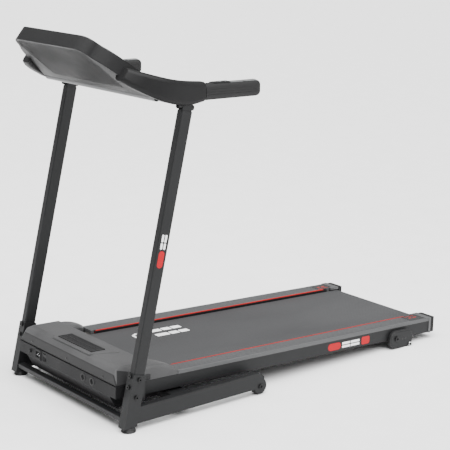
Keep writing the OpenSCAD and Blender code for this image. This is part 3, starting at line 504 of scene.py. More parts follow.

# Feet: a ribbed rubber boot
foot = {"bottom": 0.022, "top": 0.0185, "height": 0.014, "ribs": 3}
bm = bmesh.new()
for sign in (1, -1):
    centre = Vector((sign * uprightX, midOf("base_feet").y, 0))
    profile = [(0, 0), (foot["bottom"] - 0.001, 0), (foot["bottom"], 0.001), (foot["bottom"], 0.003),
               (foot["bottom"] - 0.0016, 0.0045), (foot["bottom"] - 0.0012, 0.006),
               (foot["bottom"] - 0.0026, 0.0075), (foot["bottom"] - 0.0022, 0.009),
               (foot["top"], 0.0115), (foot["top"], foot["height"] - 0.0008),
               (foot["top"] - 0.001, foot["height"]), (0, foot["height"])]
    verts = [bm.verts.new((r, 0, z)) for r, z in profile]
    edges = [bm.edges.new(pair) for pair in zip(verts, verts[1:])]
    spun = bmesh.ops.spin(bm, geom=verts + edges, cent=(0, 0, 0), axis=(0, 0, 1), angle=math.tau, steps=36,
                          use_merge=True)
    made = [v for v in bm.verts if not v.tag]
    carry(bm, Matrix.Translation(centre), made)
    for v in bm.verts:
        v.tag = True
bmesh.ops.remove_doubles(bm, verts=bm.verts, dist=0.00001)
addPiece("rubberFeet", bm, "footRubber", "base", ["base_feet"])

# Transport wheels: a tyre with a shallow tread, on a hub
wheelSize = {"radius": 0.027, "width": 0.016, "hub": 0.011, "bore": 0.00405, "groove": 0.0012}
for side, flip in sides:
    name = "transport_wheel_" + side
    w = wheelSize
    half = w["width"] / 2
    profile = [(w["bore"], -half), (w["hub"] - 0.001, -half), (w["hub"], -half + 0.0015),
               (w["radius"] - 0.007, -half + 0.0015), (w["radius"] - 0.005, -half),
               (w["radius"] - 0.002, -half), (w["radius"], -half + 0.002), (w["radius"], -0.002),
               (w["radius"] - w["groove"], -0.0012), (w["radius"] - w["groove"], 0.0012), (w["radius"], 0.002),
               (w["radius"], half - 0.002), (w["radius"] - 0.002, half), (w["radius"] - 0.005, half),
               (w["radius"] - 0.007, half - 0.0015), (w["hub"], half - 0.0015), (w["hub"] - 0.001, half),
               (w["bore"], half)]
    bm = bmesh.new()
    verts = [bm.verts.new((x, 0, r)) for r, x in profile]
    edges = [bm.edges.new(pair) for pair in zip(verts, verts[1:] + verts[:1])]
    bmesh.ops.spin(bm, geom=verts + edges, cent=(0, 0, 0), axis=(1, 0, 0), angle=math.tau, steps=48, use_merge=True)
    bmesh.ops.remove_doubles(bm, verts=bm.verts, dist=0.00001)
    carry(bm, Matrix.Translation(midOf(name)))
    addPiece("transportTyre_" + side, bm, "rubberAndPaintedShade", name, [name])
print("feet and wheels done")

# ---- console ----

# Housing: a moulded shell with wide front corners, open below for the back cover
housing = {"half": uprightX - 0.1135, "flare": 0.056, "flareLength": 0.119, "depth": 0.215, "corner": 0.047,
           "steps": ((0.08, 0.29), (0.24, 0.40), (0.47, 0.51), (0.72, 0.70), (1.0, 1.0), (1.3, 1.4)),
           "wall": 0.003, "floor": 0.008, "face": 0.003, "edge": 0.0018}
openBack = {"half": housing["half"] - 0.004, "start": 0.008, "end": 0.190, "corner": 0.040, "play": 0.0003}


def besideCurve(start, pullOne, pullTwo, end, count):
    curve = []
    for i in range(count + 1):
        t = i / count
        curve.append(tuple(start[k] * (1 - t) ** 3 + 3 * pullOne[k] * t * (1 - t) ** 2
                           + 3 * pullTwo[k] * t * t * (1 - t) + end[k] * t ** 3 for k in (0, 1)))
    return curve


def housingOutline():
    h = housing
    side = besideCurve((h["half"] - h["corner"], 0), (h["half"] - 0.020, 0), (h["half"] - 0.003, 0.010),
                       (h["half"] + h["steps"][0][0] * h["flare"], h["steps"][0][1] * h["flareLength"]), 14)
    side += [(h["half"] + out * h["flare"], along * h["flareLength"]) for out, along in h["steps"][1:]]
    side.append((h["half"] + 1.55 * h["flare"], h["depth"]))
    return side + [(-x, y) for x, y in reversed(side)]


# The outline moved inward all round
def insetOutline(outline, inset):
    moved = []
    for i, (x, y) in enumerate(outline):
        before, after = outline[i - 1], outline[(i + 1) % len(outline)]
        one = Vector((y - before[1], before[0] - x)).normalized()
        two = Vector((after[1] - y, x - after[0])).normalized()
        middle = (one + two).normalized()
        reach = inset / max(0.3, middle.dot(one))
        moved.append((x - middle.x * reach, y - middle.y * reach))
    return moved


def openBackOutline(inset):
    o = openBack
    half, start, end, corner = o["half"] - inset, o["start"] + inset, o["end"] - inset, o["corner"] - inset
    side = [(half - corner + corner * math.sin(math.radians(9 * i)),
             start + corner - corner * math.cos(math.radians(9 * i))) for i in range(11)]
    side.append((half, end))
    return side + [(-x, y) for x, y in reversed(side)]


h = housing
outline = housingOutline()
shellTop = consoleTop - h["face"]
opening = openBackOutline(0)
levels = [(outline, shellTop), (outline, h["edge"]), (insetOutline(outline, h["edge"] * 0.3), h["edge"] * 0.3),
          (insetOutline(outline, h["edge"]), 0), (opening, 0), (opening, h["floor"]),
          (insetOutline(outline, h["wall"]), h["floor"]), (insetOutline(outline, h["wall"]), shellTop)]
bm = bmesh.new()
loops = []
for points, level in levels:
    ring = [bm.verts.new((x, y, level)) for x, y in points]
    loops.append([bm.edges.new((ring[i - 1], ring[i])) for i in range(len(ring))])
for one, two in zip(loops, loops[1:] + loops[:1]):
    bmesh.ops.bridge_loops(bm, edges=one + two)
carry(bm, consoleSpace)
addPiece("consoleHousing", bm, "consolePlastic", "base", ["console_shell"], smoothAngle=42)


# A solid standing on an outline, that the face and back cover are cut to
def outlineCutter(name, points):
    cutterBm = bmesh.new()
    plateFrom(cutterBm, points, 0.100, consoleSpace @ Matrix.Translation((0, 0, -0.030)))
    bmesh.ops.recalc_face_normals(cutterBm, faces=cutterBm.faces)
    cutterMesh = bpy.data.meshes.new(name)
    cutterBm.to_mesh(cutterMesh)
    cutterBm.free()
    cutter = bpy.data.objects.new(name, cutterMesh)
    bpy.context.scene.collection.objects.link(cutter)
    return cutter


def dropCutter(cutter):
    cutterMesh = cutter.data
    bpy.data.objects.remove(cutter)
    bpy.data.meshes.remove(cutterMesh)


faceCutter = outlineCutter("faceCutter", outline)
softened("console_face", "facePlastic", 1.0 * mm, 2, within=faceCutter)
dropCutter(faceCutter)
backCutter = outlineCutter("backCutter", openBackOutline(openBack["play"]))
softened("console_back", "underPlastic", 0.6 * mm, 2, within=backCutter)
dropCutter(backCutter)
softened("console_crossbar", "silverTube", 0.5 * mm)
dress("console_board", "circuitGreen")

# Display: a dark window, with plain bar segments on it
displaySize = {"width": 0.149, "depth": 0.061, "centre": 0.060, "top": consoleTop + 0.0005, "bars": 11}
d = displaySize
bm = bmesh.new()
softBlock(bm, (-d["width"] / 2, d["centre"] - d["depth"] / 2, consoleTop - 0.0036),
          (d["width"] / 2, d["centre"] + d["depth"] / 2, d["top"]), 0.0012, 3)
carry(bm, consoleSpace)
addPiece("displayWindow", bm, "displayGlass", "base", ["console_display"])
bm = bmesh.new()
for i in range(d["bars"]):
    x = (i - (d["bars"] - 1) / 2) * 0.0115
    height = 0.006 + 0.016 * (0.5 + 0.5 * math.sin(i * 1.3))
    softBlock(bm, (x - 0.004, d["centre"] + 0.020 - height, d["top"]),
              (x + 0.004, d["centre"] + 0.020, d["top"] + 0.0002), 0.00008, 1)
carry(bm, consoleSpace)
addPiece("displaySegments", bm, "litSegment", "base")

# Console buttons: a domed cap over the plain stem
buttonLook = {"start_button": ("buttonGreen", 0.015), "stop_button": ("buttonRed", 0.015),
              "speed_up_button": ("buttonGrey", 0.010), "speed_down_button": ("buttonGrey", 0.010)}


def capProfile(radius, base, top):
    return [(0, base), (radius - 0.0008, base), (radius, base + 0.0008), (radius, top - 0.0022),
            (radius - 0.0006, top - 0.0010), (radius - 0.0018, top - 0.0003), (radius - 0.0034, top),
            (radius * 0.5, top - 0.0006), (0, top - 0.0009)]


def spunPiece(bm, profile, steps=48):
    before = set(bm.verts)
    verts = [bm.verts.new((r, 0, z)) for r, z in profile]
    edges = [bm.edges.new(pair) for pair in zip(verts, verts[1:])]
    bmesh.ops.spin(bm, geom=verts + edges, cent=(0, 0, 0), axis=(0, 0, 1), angle=math.tau, steps=steps,
                   use_merge=True)
    made = [v for v in bm.verts if v not in before]
    bmesh.ops.remove_doubles(bm, verts=made, dist=0.00001)
    return [v for v in bm.verts if v not in before]


def consoleSpot(node):
    return consoleSpace.inverted() @ midOf(node)


for node, (finish, radius) in buttonLook.items():
    spot = consoleSpot(node)
    bm = bmesh.new()
    made = spunPiece(bm, capProfile(radius, consoleTop - 0.005, consoleTop + 0.002))
    made += rodBetween(bm, (0, 0, 0.0206), (0, 0, consoleTop - 0.0046), radius - 0.003)
    carry(bm, consoleSpace @ Matrix.Translation((spot.x, spot.y, 0)))
    addPiece(node + "Cap", bm, finish, node, [node])

# Safety key: a puck with a grip bar, on its magnet stem
spot = consoleSpot("safety_key")
bm = bmesh.new()
spunPiece(bm, capProfile(0.014, consoleTop + 0.0003, consoleTop + 0.0064))
rodBetween(bm, (0, 0, 0.0189), (0, 0, consoleTop + 0.0007), 0.009)
softBlock(bm, (-0.010, -0.0022, consoleTop + 0.0049), (0.010, 0.0022, consoleTop + 0.0083), 0.0010, 3)
carry(bm, consoleSpace @ Matrix.Translation((spot.x, spot.y, 0)))
addPiece("safetyKeyPuck", bm, "buttonRed", "safety_key", ["safety_key"])

# Raised frame round the display and the key row, with plain arrows by the speed buttons
trim = {"lift": 0.0008, "band": 0.003}
bm = bmesh.new()
for x0, x1, y0, y1 in ((-0.085, 0.085, 0.022, 0.025), (-0.085, 0.085, 0.095, 0.098),
                       (-0.085, -0.082, 0.022, 0.098), (0.082, 0.085, 0.022, 0.098)):
    softBlock(bm, (x0, y0, consoleTop - 0.0002), (x1, y1, consoleTop + trim["lift"]), 0.0003, 1)
softBlock(bm, (-0.150, 0.128, consoleTop - 0.0002), (0.150, 0.130, consoleTop + trim["lift"]), 0.0003, 1)
softBlock(bm, (-0.150, 0.186, consoleTop - 0.0002), (0.150, 0.188, consoleTop + trim["lift"]), 0.0003, 1)
for sign, x in ((1, 0.050), (-1, -0.050)):
    tip = -0.004 if sign > 0 else 0.004
    plateFrom(bm, [(x - 0.005, 0.138 - tip / 2), (x + 0.005, 0.138 - tip / 2), (x, 0.138 + tip)], 0.0003,
              Matrix.Translation((0, 0, consoleTop)))
carry(bm, consoleSpace)
addPiece("consoleTrim", bm, "buttonGrey", "base")
print("console done")

# ---- arms and handles ----

armTop = Vector((uprightX, baseFront + 0.0085 + 0.925 * math.sin(lean), 0.925 * math.cos(lean) + 0.015))
# Stations: behind the upright's top, above it, height, inward from the upright, width, tilt
armStations = [(-0.1768, 0.1204, 0.040, 0.0534, 0.040, 38), (-0.1750, 0.1192, 0.0445, 0.0512, 0.044, 38),
               (-0.1580, 0.1090, 0.0505, 0.0360, 0.044, 36), (-0.1360, 0.0985, 0.056, 0.0240, 0.044, 31),
               (-0.1130, 0.0885, 0.0598, 0.0140, 0.044, 25), (-0.0900, 0.0790, 0.064, 0.0060, 0.044, 20),
               (-0.0650, 0.0700, 0.068, 0.0012, 0.044, 14), (-0.0360, 0.0622, 0.070, 0.0, 0.044, 9),
               (-0.0060, 0.0562, 0.0708, 0.0, 0.044, 4), (0.0300, 0.0540, 0.066, 0.0, 0.044, 1.4),
               (0.0500, 0.0545, 0.0612, 0.0, 0.044, 1.4), (0.0640, 0.0550, 0.0572, 0.0, 0.0438, 1.4),
               (0.0658, 0.0550, 0.0545, 0.0, 0.0415, 1.4)]


def tiltedSection(centre, w, h, corner, tilt, steps=4):
    turn = Matrix.Translation(centre) @ Matrix.Rotation(-math.radians(tilt), 4, "X")
    return [turn @ p for p in roundedSection(Vector((0, 0, 0)), w, h, corner, steps)]


for side, flip in sides:
    bm = bmesh.new()
    loft(bm, [tiltedSection(armTop + Vector((-inward, back, rise)), width, height, min(0.014, width * 0.42), tilt, 5)
              for back, rise, height, inward, width, tilt in armStations])
    carry(bm, flip)
    addPiece("armCover_" + side, bm, "consolePlastic", "base", ["arm_cover_" + side], smoothAngle=60)

gripSpace = Matrix.Translation((uprightX, gripLow.y, armTop.z + 0.053)) @ Matrix.Rotation(-gripPitch, 4, "X")
grip = {"length": 0.208, "width": 0.042, "height": 0.048, "corner": 0.0135, "groove": 0.0007}
for side, flip in sides:
    bm = bmesh.new()
    g = grip
    sections = [(0.0, 0.0), (g["length"] - 0.016, 0.0), (g["length"] - 0.008, 0.0015), (g["length"] - 0.003, 0.005),
                (g["length"] - 0.0005, 0.0105)]
    rings = []
    for y, inset in sections:
        ring = []
        w, height = g["width"] / 2 - inset, g["height"] / 2 - inset
        r = g["corner"] - inset * 0.6
        rows = [-0.75, -0.70, -0.65, -0.05, 0, 0.05, 0.65, 0.70, 0.75]
        for i in range(7):
            a = math.radians(90 * i / 6)
            ring.append((w - r + r * math.cos(a), height - r + r * math.sin(a)))
        for i in range(7):
            a = math.radians(90 + 90 * i / 6)
            ring.append((-w + r + r * math.cos(a), height - r + r * math.sin(a)))
        ring += [(-w + (g["groove"] if k % 3 == 1 and inset < 0.001 else 0), -t * (height - r))
                 for k, t in enumerate(rows)]
        for i in range(7):
            a = math.radians(180 + 90 * i / 6)
            ring.append((-w + r + r * math.cos(a), -height + r + r * math.sin(a)))
        for i in range(7):
            a = math.radians(270 + 90 * i / 6)
            ring.append((w - r + r * math.cos(a), -height + r + r * math.sin(a)))
        ring += [(w - (g["groove"] if k % 3 == 1 and inset < 0.001 else 0), t * (height - r))
                 for k, t in enumerate(rows)]
        rings.append([Vector((x, y, z)) for x, z in ring])
    loft(bm, rings)
    carry(bm, gripSpace)
    carry(bm, flip)
    addPiece("gripSleeve_" + side, bm, "gripFoam", "base", ["handle_" + side], smoothAngle=50)

# Pulse sensors: a pair of curved steel plates on each grip, split across
sensor = {"start": 0.032, "end": 0.196, "width": 0.030, "lift": 0.0014, "gap": 0.003, "hole": 0.0068}
bm = bmesh.new()
for side, flip in sides:
    s = sensor
    starts = ((s["start"] + 0.064, s["end"] - 0.050), (s["end"] - 0.047, s["end"]))
    for y0, y1 in starts:
        before = set(bm.verts)
        rings = []
        for y, drop in ((y0, 0.0010), (y0 + 0.0015, 0), (y1 - 0.0015, 0), (y1, 0.0010)):
            top = grip["height"] / 2 + s["lift"] - drop
            half = s["width"] / 2
            rings.append([Vector((x, y, z)) for x, z in
                          ((-half, 0.0165), (-half - 0.0006, 0.0185), (-half + 0.003, top - 0.0022),
                           (-half + 0.0075, top - 0.0004), (0, top), (half - 0.0075, top - 0.0004),
                           (half - 0.003, top - 0.0022), (half + 0.0006, 0.0185), (half, 0.0165))])
        loft(bm, rings)
        made = [v for v in bm.verts if v not in before]
        carry(bm, flip @ gripSpace, made)
addPiece("pulsePlates", bm, "brushedSteel", "base", ["pulse_sensors"], smoothAngle=50)

# Control pad at the front of the sensors, sloping up out of each grip
pad = {"start": 0.026, "end": 0.095, "width": 0.028, "rise": 0.0030}
bm = bmesh.new()
for side, flip in sides:
    before = set(bm.verts)
    half = pad["width"] / 2
    top = grip["height"] / 2
    rings = []
    for y, lift, inset in ((pad["start"], -0.0015, 0.003), (pad["start"] + 0.009, pad["rise"], 0.001),
                           (pad["end"] - 0.004, pad["rise"], 0.001), (pad["end"], 0.0008, 0.002)):
        rings.append([Vector((x, y, z)) for x, z in
                      ((-half, 0.016), (-half + inset, top + lift - 0.0022), (-half + 0.005, top + lift - 0.0002),
                       (half - 0.005, top + lift - 0.0002), (half - inset, top + lift - 0.0022), (half, 0.016))])
    loft(bm, rings)
    made = [v for v in bm.verts if v not in before]
    carry(bm, flip @ gripSpace, made)
addPiece("gripPads", bm, "capPlastic", "base", smoothAngle=40)
for node in ("handle_up_button", "handle_down_button"):
    spot = gripSpace.inverted() @ midOf(node)
    bm = bmesh.new()
    spunPiece(bm, capProfile(0.006, 0.0180, 0.0282), 32)
    carry(bm, gripSpace @ Matrix.Translation((0, spot.y, 0)))
    addPiece(node + "Cap", bm, "buttonGrey", node, [node])
print("arms and handles done")

# ---- deck ----

for node in ("deck_rail_left", "deck_rail_right"):
    softened(node, "powderCoat", 1.1 * mm)
softened("deck_crossbars", "powderCoat", 0.8 * mm)
# The board's dark colour is painted shade
dress("running_board", "boardPaintedShade")
for node in ("foot_rail_left", "foot_rail_right"):
    softened(node, "ribbedTread", 0.5 * mm)
softened("end_caps", "capPlastic", 1.6 * mm, 3)
for node in ("front_roller", "rear_roller"):
    softened(node, "zincSteel", 0.8 * mm)
softened("motor_pulley", "zincSteel", 0.4 * mm)
softened("roller_shafts", "zincSteel", 0.4 * mm)
dress("drive_belt", "rubberAndPaintedShade")

# Running belt: the loop in its woven finish
dress("running_belt", "beltWeave")
deckLow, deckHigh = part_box("running_belt")
beltLocal = {"half": 0.200, "top": 0.0150, "start": 0.085, "end": 1.1890}

# Trim strips: a soft-edged bead along each foot rail, stepped down at both ends
strip = {"inner": 0.204, "outer": 0.212, "start": 0.166, "end": 1.176, "base": 0.0130, "top": 0.0247,
         "inset": 0.0018}
bm = bmesh.new()
for side, flip in sides:
    before = set(bm.verts)
    s = strip
    rings = []
    for y, drop in ((s["start"], 0.006), (s["start"] + 0.004, 0.0012), (s["start"] + 0.010, 0),
                    (s["end"] - 0.010, 0), (s["end"] - 0.004, 0.0012), (s["end"], 0.006)):
        top = s["top"] - drop
        left, right = s["inner"] + s["inset"], s["outer"] - s["inset"]
        rings.append([Vector((x, y, z)) for x, z in
                      ((left, s["base"] + 0.001), (left, top - 0.0016), (left + 0.0006, top - 0.0005),
                       (left + 0.0016, top), (right - 0.0016, top), (right - 0.0006, top - 0.0005),
                       (right, top - 0.0016), (right, s["base"] + 0.001))])
    loft(bm, rings)
    carry(bm, flip @ deckSpace, [v for v in bm.verts if v not in before])
addPiece("trimBeads", bm, "stripRed", "deck", smoothAngle=40)
bm = bmesh.new()
for side, flip in sides:
    before = set(bm.verts)
    softBlock(bm, (strip["inner"], strip["start"], strip["base"]), (strip["inner"] + 0.0062, strip["end"] + 0.012, strip["top"] - 0.0030), 0.0006, 1)
    softBlock(bm, (strip["inner"] + 0.0055, strip["start"], strip["base"]), (strip["outer"], strip["end"] + 0.012, strip["top"] - 0.0008), 0.0006, 1)
    carry(bm, flip @ deckSpace, [v for v in bm.verts if v not in before])
addPiece("trimChannels", bm, "capPlastic", "deck", ["trim_strips"], smoothAngle=40)
# Painted shade: dark strips along the bottoms of the foot rails' grooves, and a dark strip for the shadow gap under
# each rail's lip
tread = {"first": 0.218, "pitch": 0.009, "width": 0.003, "count": 5, "level": 0.0225, "start": 0.1545, "end": 1.2420}
bm = bmesh.new()
for side, flip in sides:
    before = set(bm.verts)
    for i in range(tread["count"]):
        x = tread["first"] + i * tread["pitch"]
        softBlock(bm, (x + 0.0003, tread["start"], tread["level"] - 0.0002), (x + tread["width"] - 0.0003, tread["end"], tread["level"] + 0.0005), 0.0002, 1)
    softBlock(bm, (0.2660, tread["start"], 0.0112), (0.26730, tread["end"], 0.0129), 0.0002, 1)
    carry(bm, flip @ deckSpace, [v for v in bm.verts if v not in before])
addPiece("grooveShadeStrips", bm, "rubberAndPaintedShade", "deck")

# Dark labels before the rear caps, and the caps' top flanges
cap = {"y": 1.2430, "length": 0.050, "labelStart": 1.176, "labelEnd": 1.226, "top": 0.0240}
deckEnd = (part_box("end_caps")[1].y - pivot.y - 0.024 * math.sin(deckPitch)) / math.cos(deckPitch)
bm = bmesh.new()
for side, flip in sides:
    before = set(bm.verts)
    softBlock(bm, (0.2030, deckEnd - 0.047, cap["top"] - 0.0002), (0.2692, deckEnd - 0.0225, cap["top"] + 0.0018), 0.0012, 3)
    softBlock(bm, (0.2015, deckEnd - 0.060, 0.0160), (0.2128, deckEnd - 0.0215, cap["top"] + 0.0022), 0.0016, 3)
    softBlock(bm, (0.2665, deckEnd - 0.030, -0.0290), (0.2692, deckEnd - 0.0205, cap["top"] + 0.0012), 0.0008, 2)
    carry(bm, flip @ deckSpace, [v for v in bm.verts if v not in before])
addPiece("capFlanges", bm, "capTop", "deck", smoothAngle=40)
bm = bmesh.new()
for side, flip in sides:
    before = set(bm.verts)
    softBlock(bm, (0.2135, deckEnd - 0.112, cap["top"] - 0.0004), (0.2600, deckEnd - 0.049, cap["top"] + 0.0006), 0.0003, 1)
    carry(bm, flip @ deckSpace, [v for v in bm.verts if v not in before])
addPiece("capLabels", bm, "labelBlackAndPaintedShade", "deck")
bm = bmesh.new()
onLabel = Matrix.Translation((0, 0, cap["top"] + 0.0006))
for side, flip in sides:
    before = set(bm.verts)
    for x, y, w, l in ((0.2200, 0.082, 0.0030, 0.046), (0.2360, 0.070, 0.0060, 0.016), (0.2360, 0.092, 0.0060, 0.012)):
        plateFrom(bm, roundedOutline(w, l, 0.0012, 3, x, deckEnd - y), 0.0002, onLabel)
    carry(bm, flip @ deckSpace, [v for v in bm.verts if v not in before])
addPiece("capLabelBars", bm, "stripRed", "deck")
print("deck done")

# ---- hood ----

hoodShape = {"half": 0.273, "topHalf": 0.252, "front": -0.075, "seam": 0.0145, "top": 0.065, "corner": 0.009}


def hullOf(bm, points, rounding, segments=3, angle=25):
    before = set(bm.verts)
    verts = [bm.verts.new(p) for p in points]
    bmesh.ops.convex_hull(bm, input=verts)
    loose = [v for v in bm.verts if not v.link_faces and v not in before]
    bmesh.ops.delete(bm, geom=loose, context="VERTS")
    bmesh.ops.recalc_face_normals(bm, faces=[f for f in bm.faces])
    made = [v for v in bm.verts if v not in before]
    bmesh.ops.dissolve_limit(bm, angle_limit=math.radians(3), verts=made, edges=edgesOf(made))
    made = [v for v in bm.verts if v not in before]
    sharp = [e for e in edgesOf(made) if len(e.link_faces) == 2 and e.calc_face_angle(0) > math.radians(angle)]
    roundEdges(bm, sharp, rounding, segments)
    return [v for v in bm.verts if v not in before]


h = hoodShape
bm = bmesh.new()
corners = []
for sx in (1, -1):
    corners += [(sx * (h["half"] - 0.001), h["front"] + 0.002, h["seam"] + 0.0002), (sx * h["topHalf"], -0.071, 0.045),
                (sx * h["topHalf"], -0.062, 0.0586), (sx * (h["topHalf"] - 0.006), -0.044, h["top"]),
                (sx * (h["topHalf"] - 0.006), 0.052, h["top"]), (sx * (h["half"] - 0.004), 0.052, h["seam"] + 0.0002),
                (sx * (h["half"] - 0.004), 0.052, 0.030)]
hullOf(bm, corners, 0.0028, 3, 12)
carry(bm, deckSpace)
hood = addPiece("hoodTop", bm, "hoodPlasticLitCopy", "deck", ["motor_hood"], smoothAngle=32)
hood.data.materials.append(finishes["hoodPlasticShadeCopy"])
for polygon in hood.data.polygons:  # the front and sides take the darker copy as painted shade, the top keeps the lighter copy as painted light
    if polygon.normal.z < 0.45:
        polygon.material_index = 1

# Wings: fenders that taper down beside the belt, on top of the side rails
wingStations = [(0.020, 0.1925, 0.054), (0.045, 0.1925, 0.0552), (0.066, 0.1935, 0.0560), (0.086, 0.1975, 0.0546),
                (0.104, 0.2055, 0.0512), (0.118, 0.2150, 0.0468), (0.130, 0.2240, 0.0418), (0.142, 0.2380, 0.0352),
                (0.1495, 0.2500, 0.0296), (0.1530, 0.2580, 0.0240)]
bm = bmesh.new()
for side, flip in sides:
    before = set(bm.verts)
    rings = []
    outer = 0.2668
    for y, inner, top in wingStations:
        base = 0.0132
        round = min(0.012, (top - base) * 0.5, (outer - inner) * 0.35)
        ring = [Vector((outer, y, base)), Vector((inner, y, base)), Vector((inner, y, top - round))]
        for i in range(1, 6):
            a = math.radians(90 * i / 6)
            ring.append(Vector((inner + round * (1 - math.cos(a)), y, top - round + round * math.sin(a))))
        ring += [Vector((inner + round, y, top)), Vector((outer - round, y, top))]
        for i in range(1, 6):
            a = math.radians(90 * i / 6)
            ring.append(Vector((outer - round + round * math.sin(a), y, top - round * (1 - math.cos(a)))))
        ring.append(Vector((outer, y, top - round)))
        rings.append(ring)
    loft(bm, rings)
    carry(bm, flip @ deckSpace, [v for v in bm.verts if v not in before])
addPiece("hoodWings", bm, "hoodPlasticLitCopy", "deck", smoothAngle=42)

# Raised panel round the vent, and the frame and slats of the vent itself
panel = {"front": -0.058, "rear": 0.030, "lift": 0.0016}
bm = bmesh.new()
outline = [(-0.104, panel["front"]), (0.104, panel["front"]), (0.136, panel["rear"]), (-0.136, panel["rear"])]
both, top = plateFrom(bm, outline, 0.0045, Matrix.Translation((0, 0, h["top"] - 0.0045 + panel["lift"])))
rim = [e for e in edgesOf(top) if all(v in top for v in e.verts)]
roundEdges(bm, rim, 0.0014, 3)
carry(bm, deckSpace)
addPiece("ventPanel", bm, "hoodPlasticLitCopy", "deck", smoothAngle=40)

vent = {"half": 0.094, "front": -0.044, "rear": 0.006, "slats": 22, "frame": 0.005, "lift": 0.0042, "middle": 0.005}
bm = bmesh.new()
v0, v1, top = vent["front"], vent["rear"], h["top"] + vent["lift"]
low = h["top"] - 0.001
for a, b in (((-vent["half"], v0), (vent["half"], v0 + vent["frame"])),
             ((-vent["half"], v1 - vent["frame"]), (vent["half"], v1)),
             ((-vent["half"], v0 + 0.0002), (-vent["half"] + vent["frame"], v1 - 0.0002)),
             ((vent["half"] - vent["frame"], v0 + 0.0002), (vent["half"], v1 - 0.0002)),
             ((-vent["half"] + 0.002, (v0 + v1) / 2 - 0.0015), (vent["half"] - 0.002, (v0 + v1) / 2 + 0.0015))):
    softBlock(bm, (a[0], a[1], low), (b[0], b[1], top), 0.0009, 2)
pitch = (2 * vent["half"] - 2 * vent["frame"]) / vent["slats"]
for i in range(vent["slats"]):
    x = -vent["half"] + vent["frame"] + (i + 0.5) * pitch
    softBlock(bm, (x - pitch * 0.29, v0 + 0.004, low), (x + pitch * 0.29, v1 - 0.004, top - 0.0007), 0.0007, 1)
carry(bm, deckSpace)
addPiece("ventSlats", bm, "hoodPlasticShadeCopy", "deck", ["vent_grille"], smoothAngle=40)
# A black sheet under the slats: painted shade inside the vent
bm = bmesh.new()
softBlock(bm, (-vent["half"] + 0.003, v0 + 0.003, h["top"] - 0.001), (vent["half"] - 0.003, v1 - 0.003, h["top"] + 0.0022),
          0.0004, 1)
carry(bm, deckSpace)
addPiece("ventShadow", bm, "labelBlackAndPaintedShade", "deck")

# Tray under the hood, with the seam's lip, and the sockets on its front band
softened("motor_tray", "trayPlastic", 1.4 * mm, 3, smoothAngle=45)
bm = bmesh.new()
softBlock(bm, (-0.2738, -0.0757, 0.0128), (0.2738, -0.0440, 0.0143), 0.0005, 2)
carry(bm, deckSpace)
addPiece("seamLip", bm, "trayPlastic", "deck")

screws = {"across": (-0.200, 0.0, 0.200), "height": 0.0255, "radius": 0.0046}
bm = bmesh.new()
for x in screws["across"]:
    before = set(bm.verts)
    spunPiece(bm, [(0, -0.0020), (screws["radius"], -0.0020), (screws["radius"], 0.0002), (screws["radius"] - 0.0007, 0.0010),
                   (0.0016, 0.0013), (0.0014, 0.0004), (0, 0.0004)], 24)
    slope = math.atan2(0.0306, 0.002)
    carry(bm, deckSpace @ Matrix.Translation((x, -0.0717, screws["height"])) @ Matrix.Rotation(math.radians(94), 4, "X"),
          [v for v in bm.verts if v not in before])
addPiece("hoodScrews", bm, "boltBlack", "deck")

# Rubber grommets in the cable holes, a socket frame round the inlet, and the inlet's three pins
port = {"z": -0.004, "y": -0.075, "inlet": -0.159, "holes": (0.099, 0.148)}
bm = bmesh.new()
for x in port["holes"]:
    before = set(bm.verts)
    spunPiece(bm, [(0, -0.004), (0.0096, -0.004), (0.0096, -0.0002), (0.0122, -0.0002), (0.0128, 0.0004), (0.0122, 0.0014),
                   (0.0104, 0.0018), (0.0084, 0.0012), (0.0078, -0.0004), (0.0074, -0.0030), (0, -0.0032)], 36)
    carry(bm, deckSpace @ Matrix.Translation((x, port["y"], port["z"])) @ Matrix.Rotation(math.radians(90), 4, "X"),
          [v for v in bm.verts if v not in before])
addPiece("cableGrommets", bm, "footRubber", "deck")
bm = bmesh.new()
x, y, z = port["inlet"], port["y"], port["z"]
for a, b in (((-0.0165, 0.0125), (0.0165, 0.0165)), ((-0.0165, -0.0165), (0.0165, -0.0125)),
             ((-0.0165, -0.0128), (-0.0128, 0.0128)), ((0.0128, -0.0128), (0.0165, 0.0128))):
    softBlock(bm, (x + a[0], y - 0.0022, z + a[1]), (x + b[0], y - 0.0001, z + b[1]), 0.0006, 2)
carry(bm, deckSpace)
addPiece("inletFrame", bm, "capPlastic", "deck")
bm = bmesh.new()
for dx, dz in ((-0.0055, -0.002), (0.0055, -0.002), (0, 0.003)):
    softBlock(bm, (x + dx - 0.0010, y - 0.0005, z + dz - 0.0024), (x + dx + 0.0010, y + 0.0125, z + dz + 0.0024), 0.0003, 1)
carry(bm, deckSpace)
addPiece("inletPins", bm, "brushedSteel", "deck")
softened("power_inlet", "capPlastic", 0.5 * mm)
softened("power_switch", "capPlastic", 0.5 * mm)
softened("breaker_button", "capPlastic", 0.6 * mm)
print("hood done")

# ---- parts inside ----

motorBody = {"y": -0.014, "z": 0.010, "radius": 0.036, "start": -0.174, "length": 0.150}
m = motorBody
bm = bmesh.new()
profile = [(0, 0), (0.014, 0), (0.016, 0.0030), (0.031, 0.0035), (0.0335, 0.006), (0.0335, 0.014), (m["radius"] - 0.0006, 0.016),
           (m["radius"], 0.018), (m["radius"], 0.128), (m["radius"] - 0.0006, 0.130), (0.0335, 0.132), (0.0335, 0.142),
           (0.031, 0.1455), (0.012, 0.1470), (0.010, 0.1500), (0, 0.1500)]
spunPiece(bm, profile, 56)
rodBetween(bm, (0, 0, -0.052), (0, 0, 0.002), 0.005)
carry(bm, Matrix.Translation((m["start"], m["y"], m["z"])) @ Matrix.Rotation(math.radians(90), 4, "Y"))
softBlock(bm, (m["start"] + 0.020, m["y"] - 0.0216, -0.0275), (m["start"] + 0.130, m["y"] + 0.0216, -0.0140), 0.0012, 2)
carry(bm, deckSpace)
addPiece("motorCan", bm, "motorPaint", "deck", ["drive_motor"])
dress("motor_controller", "circuitGreen")

# ---- strut, feet and pins ----

